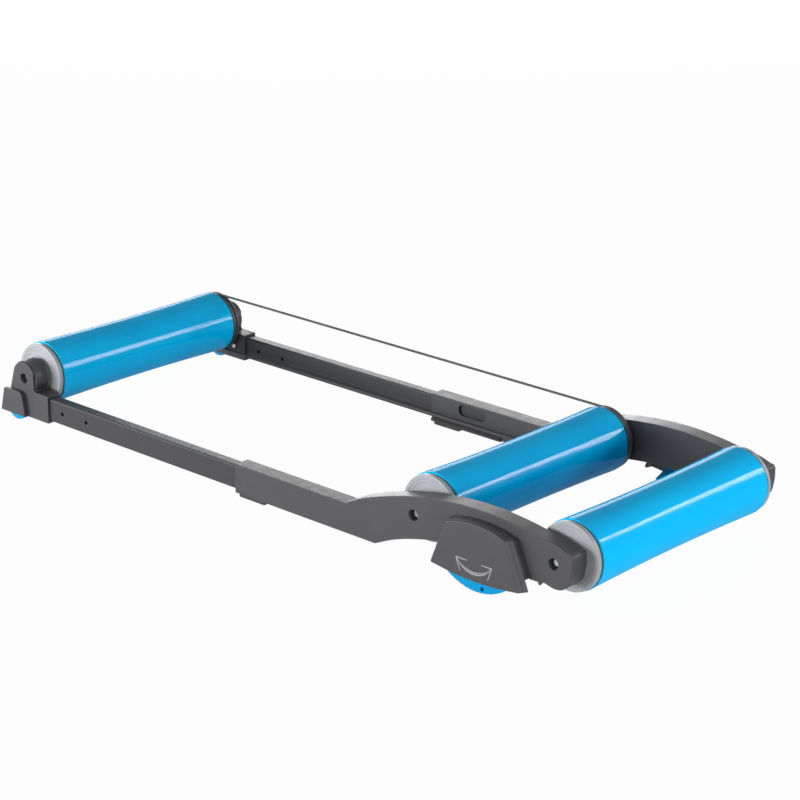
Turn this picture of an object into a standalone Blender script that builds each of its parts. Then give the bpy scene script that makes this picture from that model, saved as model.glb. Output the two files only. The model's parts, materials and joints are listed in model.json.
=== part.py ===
"""Bike training rollers: three drums in a telescopic frame, as a rider unfolds it on the floor.

Metres, +Z up. The front drum is towards -X, and the left side is towards -Y.
The origin is on the floor, in the middle of the whole machine as it stands.
"""

import math

import bmesh
import bpy

# Stance and axle places
AXLE_HEIGHT = 0.078
FRONT_TO_MIDDLE = 0.8885
MIDDLE_TO_REAR = 0.262
SIDE_GAP = 0.0076
CLEARANCE = 0.0003

# Drums
DRUM_HALF_LENGTH = 0.197
DRUM_END_RADIUS = 0.0535
DRUM_WAIST_DEPTH = 0.003
DRUM_WALL = 0.003
DRUM_SEAT_DEPTH = 0.012
DRUM_SEAT_STEP = 0.0025
DRUM_STEPS = 32
WAIST_STEPS = 4

# Drum ends
CAP_SETBACK = 0.0015
CAP_THICKNESS = 0.0075
CAP_STEPS = 20
CAP_RIM_WIDTH = 0.007
CAP_FACE_RECESS = 0.0015
CAP_WEB = 0.004
CAP_SPIGOT_WALL = 0.0035
CAP_HUB_WALL = 0.0027
CAP_CHAMFER = 0.0015
SEAL_THICKNESS = 0.003
SEAL_SETBACK = 0.002
BEARING_RADIUS = 0.015
BEARING_WIDTH = 0.009
BEARING_DEPTH = 0.0025
AXLE_RADIUS = 0.005
AXLE_STEPS = 16

# Drive belt
BELT_RADIUS = 0.002
BELT_SINK = 0.0015
BELT_GROOVE_FLANGE = 0.0034
BELT_GROOVE_PLAY = 0.0004
BELT_GROOVE_ROOM = 0.0005
BELT_STEPS = 18

# Telescopic side members
RAIL_WIDTH = 0.020
RAIL_HEIGHT = 0.040
RAIL_WALL = 0.0015
RAIL_EDGE_RADIUS = 0.0028
RAIL_DROP = 0.0425
RAIL_LENGTH = 0.710
RAIL_HOLE_RADIUS = 0.00325
RAIL_HOLES = (0.093, 0.1534)
SLEEVE_WALL = 0.0037
SLEEVE_REACH = 0.3745
STOP_FLANGE = 0.0025
STOP_PLUG = 0.016

# Rear arms
NECK_REACH = 0.137
ARCH_REACH = 0.0765
CREST_RISE = 0.0437
TAIL_REACH = 0.0345
TAIL_PAD_SETBACK = 0.0033

# Lines of the rear arm, as distances back from an axle or the tail's end, and up from the axles
CROWN_AT_END = (-0.0095, 0.023)
CROWN_AT_REAR = ((0.0045, 0.0293), (-0.0335, 0.035), (-0.0675, 0.0398))
CROWN_AT_MIDDLE = (
    (0.0515, 0.0385), (-0.0065, 0.0281), (-0.0409, 0.0192), (-0.0819, 0.0061), (-0.1105, -0.0050),
)
TAIL_LOW_AT_REAR = ((-0.017, -0.0325), (0.0075, -0.0364))
TAIL_LOW_AT_END = (-0.0145, -0.0325)
TAIL_BACK_AT_END = ((-0.0060, -0.0240), (-0.0015, -0.0090), (0.0, 0.0095), (-0.002, 0.0206))
ARCH_AT_MIDDLE = ((-0.0355, -0.0487), (0.0045, -0.0365), (0.0425, -0.0286))
ARCH_AT_FOOT = (0.0, -0.023)
ARCH_AT_REAR = (-0.060, -0.029)
ARCH_STEP_AT_REAR = ((-0.041, -0.035), (-0.0268, -0.0345), (-0.0240, -0.0400))
TAIL_PAD_DROP = 0.032
TAIL_PAD_RISE = 0.0344
SPACE_END_SETBACK = 0.015
SPACE_END_DROP = 0.005

# Axle bosses and seats
BOSS_RADIUS = 0.018
NOSE_WALL = 0.0035
RECESS_RADIUS = 0.0085
RECESS_DEPTH = 0.012
SCREW_HEAD_RADIUS = 0.0055
SCREW_HEAD = 0.004
SCREW_RADIUS = 0.003
SCREW_LENGTH = 0.0175
AXLE_SEAT_WALL = 0.004
SLOT_REACH = 0.284
SLOT_LENGTH = 0.060
SLOT_HEIGHT = 0.020

# Rear feet
FOOT_PIN_RADIUS = 0.003
PIN_BOSS_WALL = 0.005
PIN_SEAT_DEPTH = 0.007
PIN_SEAT_FLOOR = 0.002
HOUSING_DEPTH = 0.0087
HOUSING_DROP = 0.034
COVER_PROUD = 0.022
COVER_WALL = 0.003
COVER_EDGE = 0.001
COVER_FLARE = 0.0083
COVER_HOLLOW_FLARE = 0.005
HOUSING_FLARE = 0.01
COVER_BEHIND = 0.0055
COVER_TOP_HALF = 0.055
COVER_BASE_HALF = 0.083
COVER_RISE = 0.0297
COVER_CORNER_FALL = 0.0015
COVER_SHOULDER = 0.0207
COVER_DROP = 0.0505
COVER_BOW = 0.006
COVER_BOSS_WALL = 0.004
ROCKER_RADIUS = 0.095
ROCKER_PIN_HEIGHT = 0.080
ROCKER_ANGLE = 36.0
ROCKER_FACETS = 15
ROCKER_WIDTH = 0.012
ROCKER_INSET = 0.0017
ROCKER_EYE = 0.012
ROCKER_MARK_RADIUS = 0.0025
ROCKER_MARK_HEIGHT = 0.0085

# Front brackets and feet
BRACKET_SOCKET_END = 0.061
BRACKET_SOCKET_FLOOR = 0.006
BRACKET_PLATE = 0.004
EAR_RADIUS = 0.0285
EAR_REACH = 0.025
EAR_FILLET = 0.004
BRACKET_BOSS_RADIUS = 0.030
WHEEL_AHEAD = 0.023
WHEEL_RADIUS = 0.0245
WHEEL_WIDTH = 0.0142
WHEEL_CHAMFER = 0.0015
WHEEL_STEPS = 24
WHEEL_PLAY = 0.0005
WHEEL_ROOM = 0.001
WHEEL_PIN_WALL = 0.003
FRONT_COVER_PROUD = 0.0085
FRONT_COVER_REACH = 0.0544
FRONT_COVER_WALL = 0.0025
FRONT_COVER_BACK = 0.0081
FRONT_COVER_TOP_FRONT = 0.0446
FRONT_COVER_LOW = 0.0655
FRONT_COVER_HIGH = 0.0239
FRONT_COVER_SHOULDER = ((-0.0015, 0.0045), (-0.0065, 0.0))
BRACKET_TOE_SETBACK = 0.0012
BRACKET_FRONT = ((-0.0470, -0.0360), (-0.0390, -0.0320))
EAR_START = 155.0

# Release levers
LEVER_HINGE_REACH = 0.2165
LEVER_PIN_RADIUS = 0.001
LEVER_PIN_INSET = 0.0018
LEVER_TAIL = 0.003
LEVER_KNUCKLE = 0.0036
LEVER_KNUCKLE_GRIP = 0.010
LEVER_ROOM = 0.0015
LEVER_LEDGE = 0.003
LEVER_LIP_HEIGHT = 0.0069
TAB_SETBACK = 0.007
TAB_LENGTH = 0.058
TAB_DEPTH = 0.005
TAB_INSET = 0.001
SPRING_TURNS = 3
SPRING_WIRE = 0.0003
SPRING_PITCH = 0.0011

# Bracket screws
FIXING_REACH = 0.034
FIXING_RADIUS = 0.002
FIXING_HEAD = 0.0027
FIXING_HEAD_RADIUS = 0.0045
FIXING_LENGTH = 0.012

# Worked out from the sizes above
TOTAL_LENGTH = FRONT_COVER_REACH + FRONT_TO_MIDDLE + MIDDLE_TO_REAR + DRUM_END_RADIUS
FRONT_X = FRONT_COVER_REACH - TOTAL_LENGTH / 2
MIDDLE_X = FRONT_X + FRONT_TO_MIDDLE
REAR_X = MIDDLE_X + MIDDLE_TO_REAR
SEAL_START = DRUM_HALF_LENGTH + CLEARANCE
CAP_START = SEAL_START + SEAL_THICKNESS + CLEARANCE
CAP_FACE = CAP_START + CAP_THICKNESS
HUB_FACE = CAP_FACE + BEARING_DEPTH
NOSE_FACE = CAP_FACE + CLEARANCE
RAIL_SPACE = RAIL_WIDTH + 2 * CLEARANCE
SIDE_DEPTH = RAIL_SPACE + 2 * SLEEVE_WALL
SIDE_INNER = NOSE_FACE + SIDE_GAP
FRAME_HALF_WIDTH = SIDE_INNER + SIDE_DEPTH
RAIL_Y = FRAME_HALF_WIDTH - SIDE_DEPTH / 2
RAIL_Z = AXLE_HEIGHT - RAIL_DROP
RAIL_FRONT_X = FRONT_X + BRACKET_SOCKET_FLOOR + CLEARANCE
RAIL_REAR_X = RAIL_FRONT_X + RAIL_LENGTH
SLEEVE_TOP = RAIL_Z + RAIL_HEIGHT / 2 + CLEARANCE + SLEEVE_WALL
SLEEVE_BOTTOM = RAIL_Z - RAIL_HEIGHT / 2 - CLEARANCE - SLEEVE_WALL
MOUTH_X = MIDDLE_X - SLEEVE_REACH
NECK_X = MIDDLE_X - NECK_REACH
SPACE_OUTER = FRAME_HALF_WIDTH - SLEEVE_WALL
SPACE_INNER = SIDE_INNER + SLEEVE_WALL
DRUM_WAIST_RADIUS = DRUM_END_RADIUS - DRUM_WAIST_DEPTH
DRUM_BORE = DRUM_WAIST_RADIUS - DRUM_WALL
CAP_SEAT_RADIUS = DRUM_BORE + DRUM_SEAT_STEP
CAP_RADIUS = DRUM_END_RADIUS - CAP_SETBACK
SEAL_RADIUS = DRUM_END_RADIUS - SEAL_SETBACK
BELT_LINE_RADIUS = CAP_RADIUS - BELT_SINK
NOSE_RADIUS = AXLE_RADIUS + NOSE_WALL
AXLE_HALF = FRAME_HALF_WIDTH - RECESS_DEPTH - AXLE_SEAT_WALL - CLEARANCE
FOOT_X = (MIDDLE_X + REAR_X) / 2
COVER_X = FOOT_X + COVER_BEHIND
WHEEL_X = FRONT_X - WHEEL_AHEAD
HINGE_X = MIDDLE_X - LEVER_HINGE_REACH
LEVER_TOP = RAIL_Z - RAIL_HEIGHT / 2 - CLEARANCE
LEVER_Z = (LEVER_TOP + SLEEVE_BOTTOM) / 2
SPRING_MEAN = LEVER_PIN_RADIUS + SPRING_WIRE + CLEARANCE
ROCKER_LOW = FRAME_HALF_WIDTH - ROCKER_INSET + CLEARANCE
ROCKER_HIGH = ROCKER_LOW + ROCKER_WIDTH
WHEEL_POCKET_FLOOR = FRAME_HALF_WIDTH - WHEEL_WIDTH - 2 * WHEEL_PLAY
SIDES = (("left", -1), ("right", 1))
MERGE = 0.00001
OVERRUN = 0.004


def clear_scene():
    for obj in list(bpy.data.objects):
        bpy.data.objects.remove(obj, do_unlink=True)


def make_collection(name):
    collection = bpy.data.collections.new(name)
    bpy.context.scene.collection.children.link(collection)
    return collection


def make_material(name, colour, roughness, metallic=0.0):
    material = bpy.data.materials.new(name)
    material.use_nodes = True
    shader = material.node_tree.nodes["Principled BSDF"]
    shader.inputs["Base Color"].default_value = (*colour, 1.0)
    shader.inputs["Roughness"].default_value = roughness
    shader.inputs["Metallic"].default_value = metallic
    material.diffuse_color = (*colour, 1.0)
    return material


def corner(x, z):
    return (x, z, "VECTOR")


def smooth(x, z):
    return (x, z, "AUTO")


def arc(x, z, radius, start, end, steps):
    """Corner points on an arc, angles in degrees from +X towards +Z."""
    points = []
    for i in range(steps + 1):
        angle = math.radians(start + (end - start) * i / steps)
        points.append(corner(x + radius * math.cos(angle), z + radius * math.sin(angle)))
    return points


def rounded_box(width, height, radius, x=0.0, z=0.0, steps=2):
    points = []
    for turn, (sx, sz) in enumerate(((1, 1), (-1, 1), (-1, -1), (1, -1))):
        cx = x + sx * (width / 2 - radius)
        cz = z + sz * (height / 2 - radius)
        points += arc(cx, cz, radius, 90 * turn, 90 * turn + 90, steps)
    return points


def new_object(name, data, collection, material=None):
    obj = bpy.data.objects.new(name, data)
    collection.objects.link(obj)
    if material:
        data.materials.append(material)
    return obj


def shade_round(mesh):
    """Smooth shading, with the real edges kept sharp."""
    mesh.shade_smooth()
    mesh.set_sharp_from_angle(angle=math.radians(30))


def plain_mesh(source, merge_flats=False):
    """Replace a curve or a modified object by its closed mesh, under the same name."""
    name = source.name
    collection = source.users_collection[0]
    evaluated = source.evaluated_get(bpy.context.evaluated_depsgraph_get())
    mesh = bpy.data.meshes.new_from_object(evaluated)
    materials = list(source.data.materials)
    bpy.data.objects.remove(source, do_unlink=True)
    bm = bmesh.new()
    bm.from_mesh(mesh)
    bmesh.ops.remove_doubles(bm, verts=bm.verts, dist=MERGE)
    if merge_flats:
        bmesh.ops.dissolve_limit(bm, angle_limit=math.radians(0.1), verts=bm.verts, edges=bm.edges)
    bmesh.ops.recalc_face_normals(bm, faces=bm.faces)
    bm.to_mesh(mesh)
    bm.free()
    shade_round(mesh)
    if materials and not mesh.materials:
        mesh.materials.append(materials[0])
    return new_object(name, mesh, collection)


def extruded(name, loops, low, high, collection, material=None, along="Y", steps=4):
    """Outline loops in X-Z stretched along Y, or in Y-Z stretched along X, from low to high."""
    curve = bpy.data.curves.new(name, "CURVE")
    curve.dimensions = "2D"
    curve.fill_mode = "BOTH"
    curve.extrude = abs(high - low) / 2
    curve.resolution_u = steps
    for loop in loops:
        spline = curve.splines.new("BEZIER")
        spline.bezier_points.add(len(loop) - 1)
        spline.use_cyclic_u = True
        for point, (u, v, kind) in zip(spline.bezier_points, loop):
            point.co = (u, v, 0.0)
            point.handle_left_type = kind
            point.handle_right_type = kind
    obj = plain_mesh(new_object(name, curve, collection, material), merge_flats=True)
    middle = (low + high) / 2
    if along == "Y":
        obj.location = (0.0, middle, 0.0)
        obj.rotation_euler = (math.pi / 2, 0.0, 0.0)
    else:
        obj.location = (middle, 0.0, 0.0)
        obj.rotation_euler = (math.pi / 2, 0.0, math.pi / 2)
    return obj


def draft_outer_end(obj, side, centre, spread):
    """Draw in the outer end of an outline stretched along Y, so that its base is spread wider."""
    for vertex in obj.data.vertices:
        if vertex.co.z * side < 0:
            vertex.co.x = centre + (vertex.co.x - centre) * spread


def turned(name, profile, side, place, collection, material=None, steps=AXLE_STEPS, facet_down=False):
    """A profile of (radius, distance outward) turned about a line across the machine."""
    phase = math.pi / steps if facet_down else 0.0
    grow = 1 / math.cos(phase) if facet_down else 1.0
    points = []
    for radius, out in profile:
        reach = radius * grow
        points.append((reach * math.cos(phase), reach * math.sin(phase), out))
    closed = profile[0][0] > 0
    edges = [(i, i + 1) for i in range(len(points) - 1)]
    if closed:
        edges.append((len(points) - 1, 0))
    mesh = bpy.data.meshes.new(name)
    mesh.from_pydata(points, edges, [])
    obj = new_object(name, mesh, collection, material)
    screw = obj.modifiers.new("turn", "SCREW")
    screw.axis = "Z"
    screw.steps = steps
    screw.render_steps = steps
    screw.use_merge_vertices = True
    screw.merge_threshold = MERGE
    obj = plain_mesh(obj)
    obj.rotation_euler = (-side * math.pi / 2, 0.0, 0.0)
    obj.location = (place[0], 0.0, place[1])
    return obj


def rod(name, radius, start, end, side, place, collection, material=None, steps=12):
    """A plain round rod across the machine, from start to end outward of its middle plane."""
    mesh = bpy.data.meshes.new(name)
    bm = bmesh.new()
    bmesh.ops.create_cone(bm, cap_ends=True, segments=steps, radius1=radius, radius2=radius,
                          depth=abs(end - start))
    bm.to_mesh(mesh)
    bm.free()
    shade_round(mesh)
    obj = new_object(name, mesh, collection, material)
    obj.rotation_euler = (-side * math.pi / 2, 0.0, 0.0)
    obj.location = (place[0], side * (start + end) / 2, place[1])
    return obj


def block(name, x, out, z, side, collection, material=None):
    """A box given by its spans along X, outward from the middle plane, and up."""
    mesh = bpy.data.meshes.new(name)
    bm = bmesh.new()
    bmesh.ops.create_cube(bm, size=1.0)
    bmesh.ops.scale(bm, vec=(x[1] - x[0], out[1] - out[0], z[1] - z[0]), verts=bm.verts)
    bm.to_mesh(mesh)
    bm.free()
    obj = new_object(name, mesh, collection, material)
    obj.location = ((x[0] + x[1]) / 2, side * (out[0] + out[1]) / 2, (z[0] + z[1]) / 2)
    return obj


def combine(target, operation, *tools):
    """Cut tools from the target, or join them to it, and keep them as hidden wires."""
    for tool in tools:
        modifier = target.modifiers.new(tool.name, "BOOLEAN")
        modifier.operation = operation
        modifier.object = tool
        modifier.solver = "EXACT"
        tool.hide_render = True
        tool.display_type = "WIRE"


def cut_together(target, tools):
    """Cut several tools from the target in one step, so that no cut runs over a seam of another."""
    group = make_collection(target.name + "_cuts")
    for tool in tools:
        group.objects.link(tool)
        CUTTERS.objects.unlink(tool)
        tool.hide_render = True
        tool.display_type = "WIRE"
    modifier = target.modifiers.new("cuts", "BOOLEAN")
    modifier.operation = "DIFFERENCE"
    modifier.operand_type = "COLLECTION"
    modifier.collection = group
    modifier.solver = "EXACT"


def soften(obj, width):
    bevel = obj.modifiers.new("edge", "BEVEL")
    bevel.width = width
    bevel.segments = 1
    bevel.limit_method = "ANGLE"
    bevel.angle_limit = math.radians(60)
    bevel.use_clamp_overlap = True


def joint_empty(name, place, parts):
    """An empty on a joint's axis that carries the parts of its body."""
    empty = bpy.data.objects.new(name, None)
    PARTS.objects.link(empty)
    empty.location = place
    for obj in parts:
        obj.parent = empty
        obj.location = [a - b for a, b in zip(obj.location, place)]
    return empty


def line_at(x, z, places, kind):
    """Points of one kind, given by their places from a point."""
    return [kind(x + out, z + up) for out, up in places]


def crown(inset):
    """Top line of the arm from its tail to its neck, drawn in by the inset."""
    z = AXLE_HEIGHT - inset
    points = line_at(REAR_X + TAIL_REACH - inset, z, [CROWN_AT_END], smooth)
    points += line_at(REAR_X, z, CROWN_AT_REAR, smooth)
    points.append(smooth(FOOT_X, z + CREST_RISE))
    points += line_at(MIDDLE_X, z, CROWN_AT_MIDDLE, smooth)
    points.append(corner(NECK_X, SLEEVE_TOP - inset))
    return points


def tail(inset):
    """End of the arm round the rear axle, from its underside up, drawn in by the inset."""
    end = REAR_X + TAIL_REACH - inset
    low = AXLE_HEIGHT + inset
    points = line_at(REAR_X, low, TAIL_LOW_AT_REAR[:1], corner)
    points += line_at(REAR_X, low, TAIL_LOW_AT_REAR[1:], smooth)
    points += line_at(end, low, [TAIL_LOW_AT_END], smooth)
    return points + line_at(end, AXLE_HEIGHT, TAIL_BACK_AT_END, smooth)


def arm_outline():
    arch = [corner(MOUTH_X, SLEEVE_BOTTOM), corner(MIDDLE_X - ARCH_REACH, SLEEVE_BOTTOM)]
    arch += line_at(MIDDLE_X, AXLE_HEIGHT, ARCH_AT_MIDDLE, smooth)
    arch += line_at(FOOT_X, AXLE_HEIGHT, [ARCH_AT_FOOT], smooth)
    arch += line_at(REAR_X, AXLE_HEIGHT, [ARCH_AT_REAR], smooth)
    arch += line_at(REAR_X, AXLE_HEIGHT, ARCH_STEP_AT_REAR, corner)
    return arch + tail(0.0) + crown(0.0) + [corner(MOUTH_X, SLEEVE_TOP)]


def arm_space():
    """Hollow of the arm: the rail's channel in the sleeve, open below behind the neck."""
    low = -OVERRUN
    end = REAR_X + TAIL_REACH - SPACE_END_SETBACK
    channel = RAIL_Z - RAIL_HEIGHT / 2 - CLEARANCE
    points = [
        corner(MOUTH_X - OVERRUN, channel),
        corner(NECK_X, channel),
        corner(NECK_X, low),
        corner(end, low),
        corner(end, AXLE_HEIGHT - SPACE_END_DROP),
    ]
    return points + crown(SLEEVE_WALL) + [corner(MOUTH_X - OVERRUN, SLEEVE_TOP - SLEEVE_WALL)]


def cover_outline(inset=0.0, drop=COVER_DROP, bow=COVER_BOW):
    """Face of the rear foot cover: a wedge with a bowed top and foot, to a drop below the axles."""
    slope = (COVER_BASE_HALF - COVER_TOP_HALF) / (COVER_SHOULDER + COVER_DROP)
    top = COVER_TOP_HALF - inset
    base = COVER_BASE_HALF - inset + slope * (drop - COVER_DROP)
    z = AXLE_HEIGHT - inset
    return [
        corner(COVER_X - base, AXLE_HEIGHT - drop),
        smooth(COVER_X - base / 3, AXLE_HEIGHT - drop - bow),
        smooth(COVER_X + base / 3, AXLE_HEIGHT - drop - bow),
        corner(COVER_X + base, AXLE_HEIGHT - drop),
        corner(COVER_X + top, z + COVER_SHOULDER),
        smooth(COVER_X + top / 2, z + COVER_RISE - COVER_CORNER_FALL),
        smooth(COVER_X - top / 2, z + COVER_RISE - COVER_CORNER_FALL),
        corner(COVER_X - top, z + COVER_SHOULDER),
    ]


def flare_spread(flare):
    """How many times wider the cover's base is when each side stands out by the flare."""
    return 1 + flare / COVER_BASE_HALF


def flared(outline, flare):
    spread = flare_spread(flare)
    return [(COVER_X + (x - COVER_X) * spread, z, kind) for x, z, kind in outline]


def axle_cutter(name, side, x):
    """Screw recess, screw hole and axle seat in one stepped tool."""
    floor = FRAME_HALF_WIDTH - RECESS_DEPTH
    seat = floor - AXLE_SEAT_WALL
    profile = [
        (0.0, FRAME_HALF_WIDTH + OVERRUN),
        (RECESS_RADIUS, FRAME_HALF_WIDTH + OVERRUN),
        (RECESS_RADIUS, floor),
        (SCREW_RADIUS + CLEARANCE, floor),
        (SCREW_RADIUS + CLEARANCE, seat),
        (AXLE_RADIUS + CLEARANCE, seat),
        (AXLE_RADIUS + CLEARANCE, NOSE_FACE - OVERRUN),
        (0.0, NOSE_FACE - OVERRUN),
    ]
    return turned(name, profile, side, (x, AXLE_HEIGHT), CUTTERS)


def axle_boss(name, side, x, radius, outer, inner):
    """Boss inside a side member, with a slim nose that reaches the drum's bearing."""
    profile = [
        (0.0, outer),
        (radius, outer),
        (radius, inner),
        (NOSE_RADIUS, inner),
        (NOSE_RADIUS, NOSE_FACE),
        (0.0, NOSE_FACE),
    ]
    return turned(name, profile, side, (x, AXLE_HEIGHT), CUTTERS)


def tail_pad_outline():
    """The arm's end as a pad towards the drum, with a straight front edge."""
    front = REAR_X - TAIL_REACH
    top = [point for point in crown(CLEARANCE) if point[0] > front]
    low = corner(front, AXLE_HEIGHT - TAIL_PAD_DROP)
    return [low] + tail(CLEARANCE) + top + [corner(front, AXLE_HEIGHT + TAIL_PAD_RISE)]


def rear_arm(name, side):
    arm = extruded(name, [arm_outline()], side * SIDE_INNER, side * FRAME_HALF_WIDTH, PARTS, CHARCOAL,
                   steps=3)
    inside = [side * SPACE_INNER, side * SPACE_OUTER]
    space = extruded(name + "_space", [arm_space()], inside[0], inside[1], CUTTERS, steps=2)
    combine(arm, "DIFFERENCE", space)

    housing_top = FRAME_HALF_WIDTH + HOUSING_DEPTH
    housing_outline = flared(cover_outline(0.0, HOUSING_DROP, 0.0), HOUSING_FLARE)
    housing = extruded(name + "_housing", [housing_outline], side * SPACE_OUTER, side * housing_top,
                       CUTTERS)
    inner_joint = SIDE_INNER + SLEEVE_WALL / 2
    outer_joint = SPACE_OUTER + SLEEVE_WALL / 2
    tail_pad = extruded(name + "_tail", [tail_pad_outline()], side * (NOSE_FACE + TAIL_PAD_SETBACK),
                        side * inner_joint, CUTTERS)
    middle_boss = axle_boss(name + "_middle_boss", side, MIDDLE_X, BOSS_RADIUS, outer_joint, inner_joint)
    rear_boss = axle_boss(name + "_rear_boss", side, REAR_X, BOSS_RADIUS, outer_joint, inner_joint)
    pin_boss = rod(name + "_pin_boss", FOOT_PIN_RADIUS + PIN_BOSS_WALL,
                   SPACE_OUTER - PIN_SEAT_DEPTH - PIN_SEAT_FLOOR, SPACE_OUTER + ROCKER_INSET / 2,
                   side, (FOOT_X, ROCKER_PIN_HEIGHT), CUTTERS, steps=16)
    combine(arm, "UNION", housing, tail_pad, middle_boss, rear_boss, pin_boss)

    chamber_outline = flared(cover_outline(COVER_WALL, COVER_DROP + OVERRUN), HOUSING_FLARE)
    chamber = extruded(name + "_chamber", [chamber_outline],
                       side * (FRAME_HALF_WIDTH - ROCKER_INSET), side * (housing_top + OVERRUN), CUTTERS)
    pin_hole = rod(name + "_pin_hole", FOOT_PIN_RADIUS + CLEARANCE, SPACE_OUTER - PIN_SEAT_DEPTH,
                   FRAME_HALF_WIDTH, side, (FOOT_X, ROCKER_PIN_HEIGHT), CUTTERS, steps=16)
    lever_window = block(name + "_lever_window", (MOUTH_X - OVERRUN, HINGE_X + LEVER_TAIL + LEVER_ROOM),
                         (SPACE_INNER, SPACE_OUTER), (SLEEVE_BOTTOM - OVERRUN, LEVER_TOP + OVERRUN),
                         side, CUTTERS)
    lip_top = SLEEVE_BOTTOM + LEVER_LIP_HEIGHT + CLEARANCE
    lip_window = block(name + "_lip_window", (MOUTH_X - OVERRUN, HINGE_X - LEVER_KNUCKLE + CLEARANCE),
                       (SIDE_INNER - OVERRUN, SPACE_INNER + OVERRUN),
                       (SLEEVE_BOTTOM - OVERRUN, lip_top), side, CUTTERS)
    hinge_hole = rod(name + "_hinge_hole", LEVER_PIN_RADIUS + CLEARANCE, SIDE_INNER - OVERRUN,
                     FRAME_HALF_WIDTH - LEVER_PIN_INSET + CLEARANCE, side, (HINGE_X, LEVER_Z), CUTTERS)
    slot_x = MIDDLE_X - SLOT_REACH
    slot_outline = rounded_box(SLOT_LENGTH, SLOT_HEIGHT, SLOT_HEIGHT / 2 - CLEARANCE, slot_x,
                               RAIL_Z + (RAIL_HEIGHT - SLOT_HEIGHT) / 2 - CLEARANCE, steps=4)
    slot = extruded(name + "_slot", [slot_outline], side * (SIDE_INNER - OVERRUN),
                    side * (SPACE_INNER + OVERRUN), CUTTERS)
    combine(arm, "DIFFERENCE", chamber, pin_hole, lever_window, lip_window, hinge_hole, slot,
            axle_cutter(name + "_middle_seat", side, MIDDLE_X),
            axle_cutter(name + "_rear_seat", side, REAR_X))
    return arm


def inner_rail(name, side):
    outer = rounded_box(RAIL_WIDTH, RAIL_HEIGHT, RAIL_EDGE_RADIUS, side * RAIL_Y, RAIL_Z)
    inner = rounded_box(RAIL_WIDTH - 2 * RAIL_WALL, RAIL_HEIGHT - 2 * RAIL_WALL,
                        RAIL_EDGE_RADIUS - RAIL_WALL, side * RAIL_Y, RAIL_Z)
    rail = extruded(name, [outer, inner], RAIL_FRONT_X, RAIL_REAR_X, PARTS, RAIL_PAINT, along="X")
    reach = RAIL_WIDTH / 2 + OVERRUN
    holes = []
    for i, station in enumerate(RAIL_HOLES):
        holes.append(rod(name + "_hole_%d" % (i + 1), RAIL_HOLE_RADIUS, RAIL_Y - reach, RAIL_Y + reach,
                         side, (FRONT_X + station, RAIL_Z), CUTTERS))
    holes.append(rod(name + "_fixing_hole", FIXING_RADIUS + CLEARANCE, RAIL_Y - reach, RAIL_Y, side,
                     (FRONT_X + FIXING_REACH, RAIL_Z), CUTTERS))
    cut_together(rail, holes)
    return rail


def rail_end_stop(name, side):
    flange_outline = rounded_box(RAIL_WIDTH, RAIL_HEIGHT, RAIL_EDGE_RADIUS, side * RAIL_Y, RAIL_Z)
    start = RAIL_REAR_X + CLEARANCE
    stop = extruded(name, [flange_outline], start, start + STOP_FLANGE, PARTS, BLACK, along="X")
    fit = RAIL_WALL + CLEARANCE
    plug_outline = rounded_box(RAIL_WIDTH - 2 * fit, RAIL_HEIGHT - 2 * fit, RAIL_EDGE_RADIUS - RAIL_WALL,
                               side * RAIL_Y, RAIL_Z)
    plug = extruded(name + "_plug", [plug_outline], RAIL_REAR_X - STOP_PLUG, start + STOP_FLANGE / 2,
                    CUTTERS, along="X")
    combine(stop, "UNION", plug)
    return stop


def bracket_front_edge(step=0.0):
    """Front edge of the bracket, from its foot up to the ear, set back by the step."""
    return [
        corner(FRONT_X - FRONT_COVER_REACH + BRACKET_TOE_SETBACK + step, SLEEVE_BOTTOM + step),
        *line_at(FRONT_X + step, AXLE_HEIGHT - step, BRACKET_FRONT, corner),
    ]


def bracket_outline():
    socket = FRONT_X + BRACKET_SOCKET_END
    side_x = FRONT_X + EAR_REACH
    ear_end = math.degrees(math.acos(EAR_REACH / EAR_RADIUS))
    outline = [corner(socket, SLEEVE_TOP)]
    outline += arc(side_x + EAR_FILLET, SLEEVE_TOP + EAR_FILLET, EAR_FILLET, 270, 180, 2)
    outline += arc(FRONT_X, AXLE_HEIGHT, EAR_RADIUS, ear_end, EAR_START, 10)
    return outline + bracket_front_edge()[::-1] + [corner(socket, SLEEVE_BOTTOM)]


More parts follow.
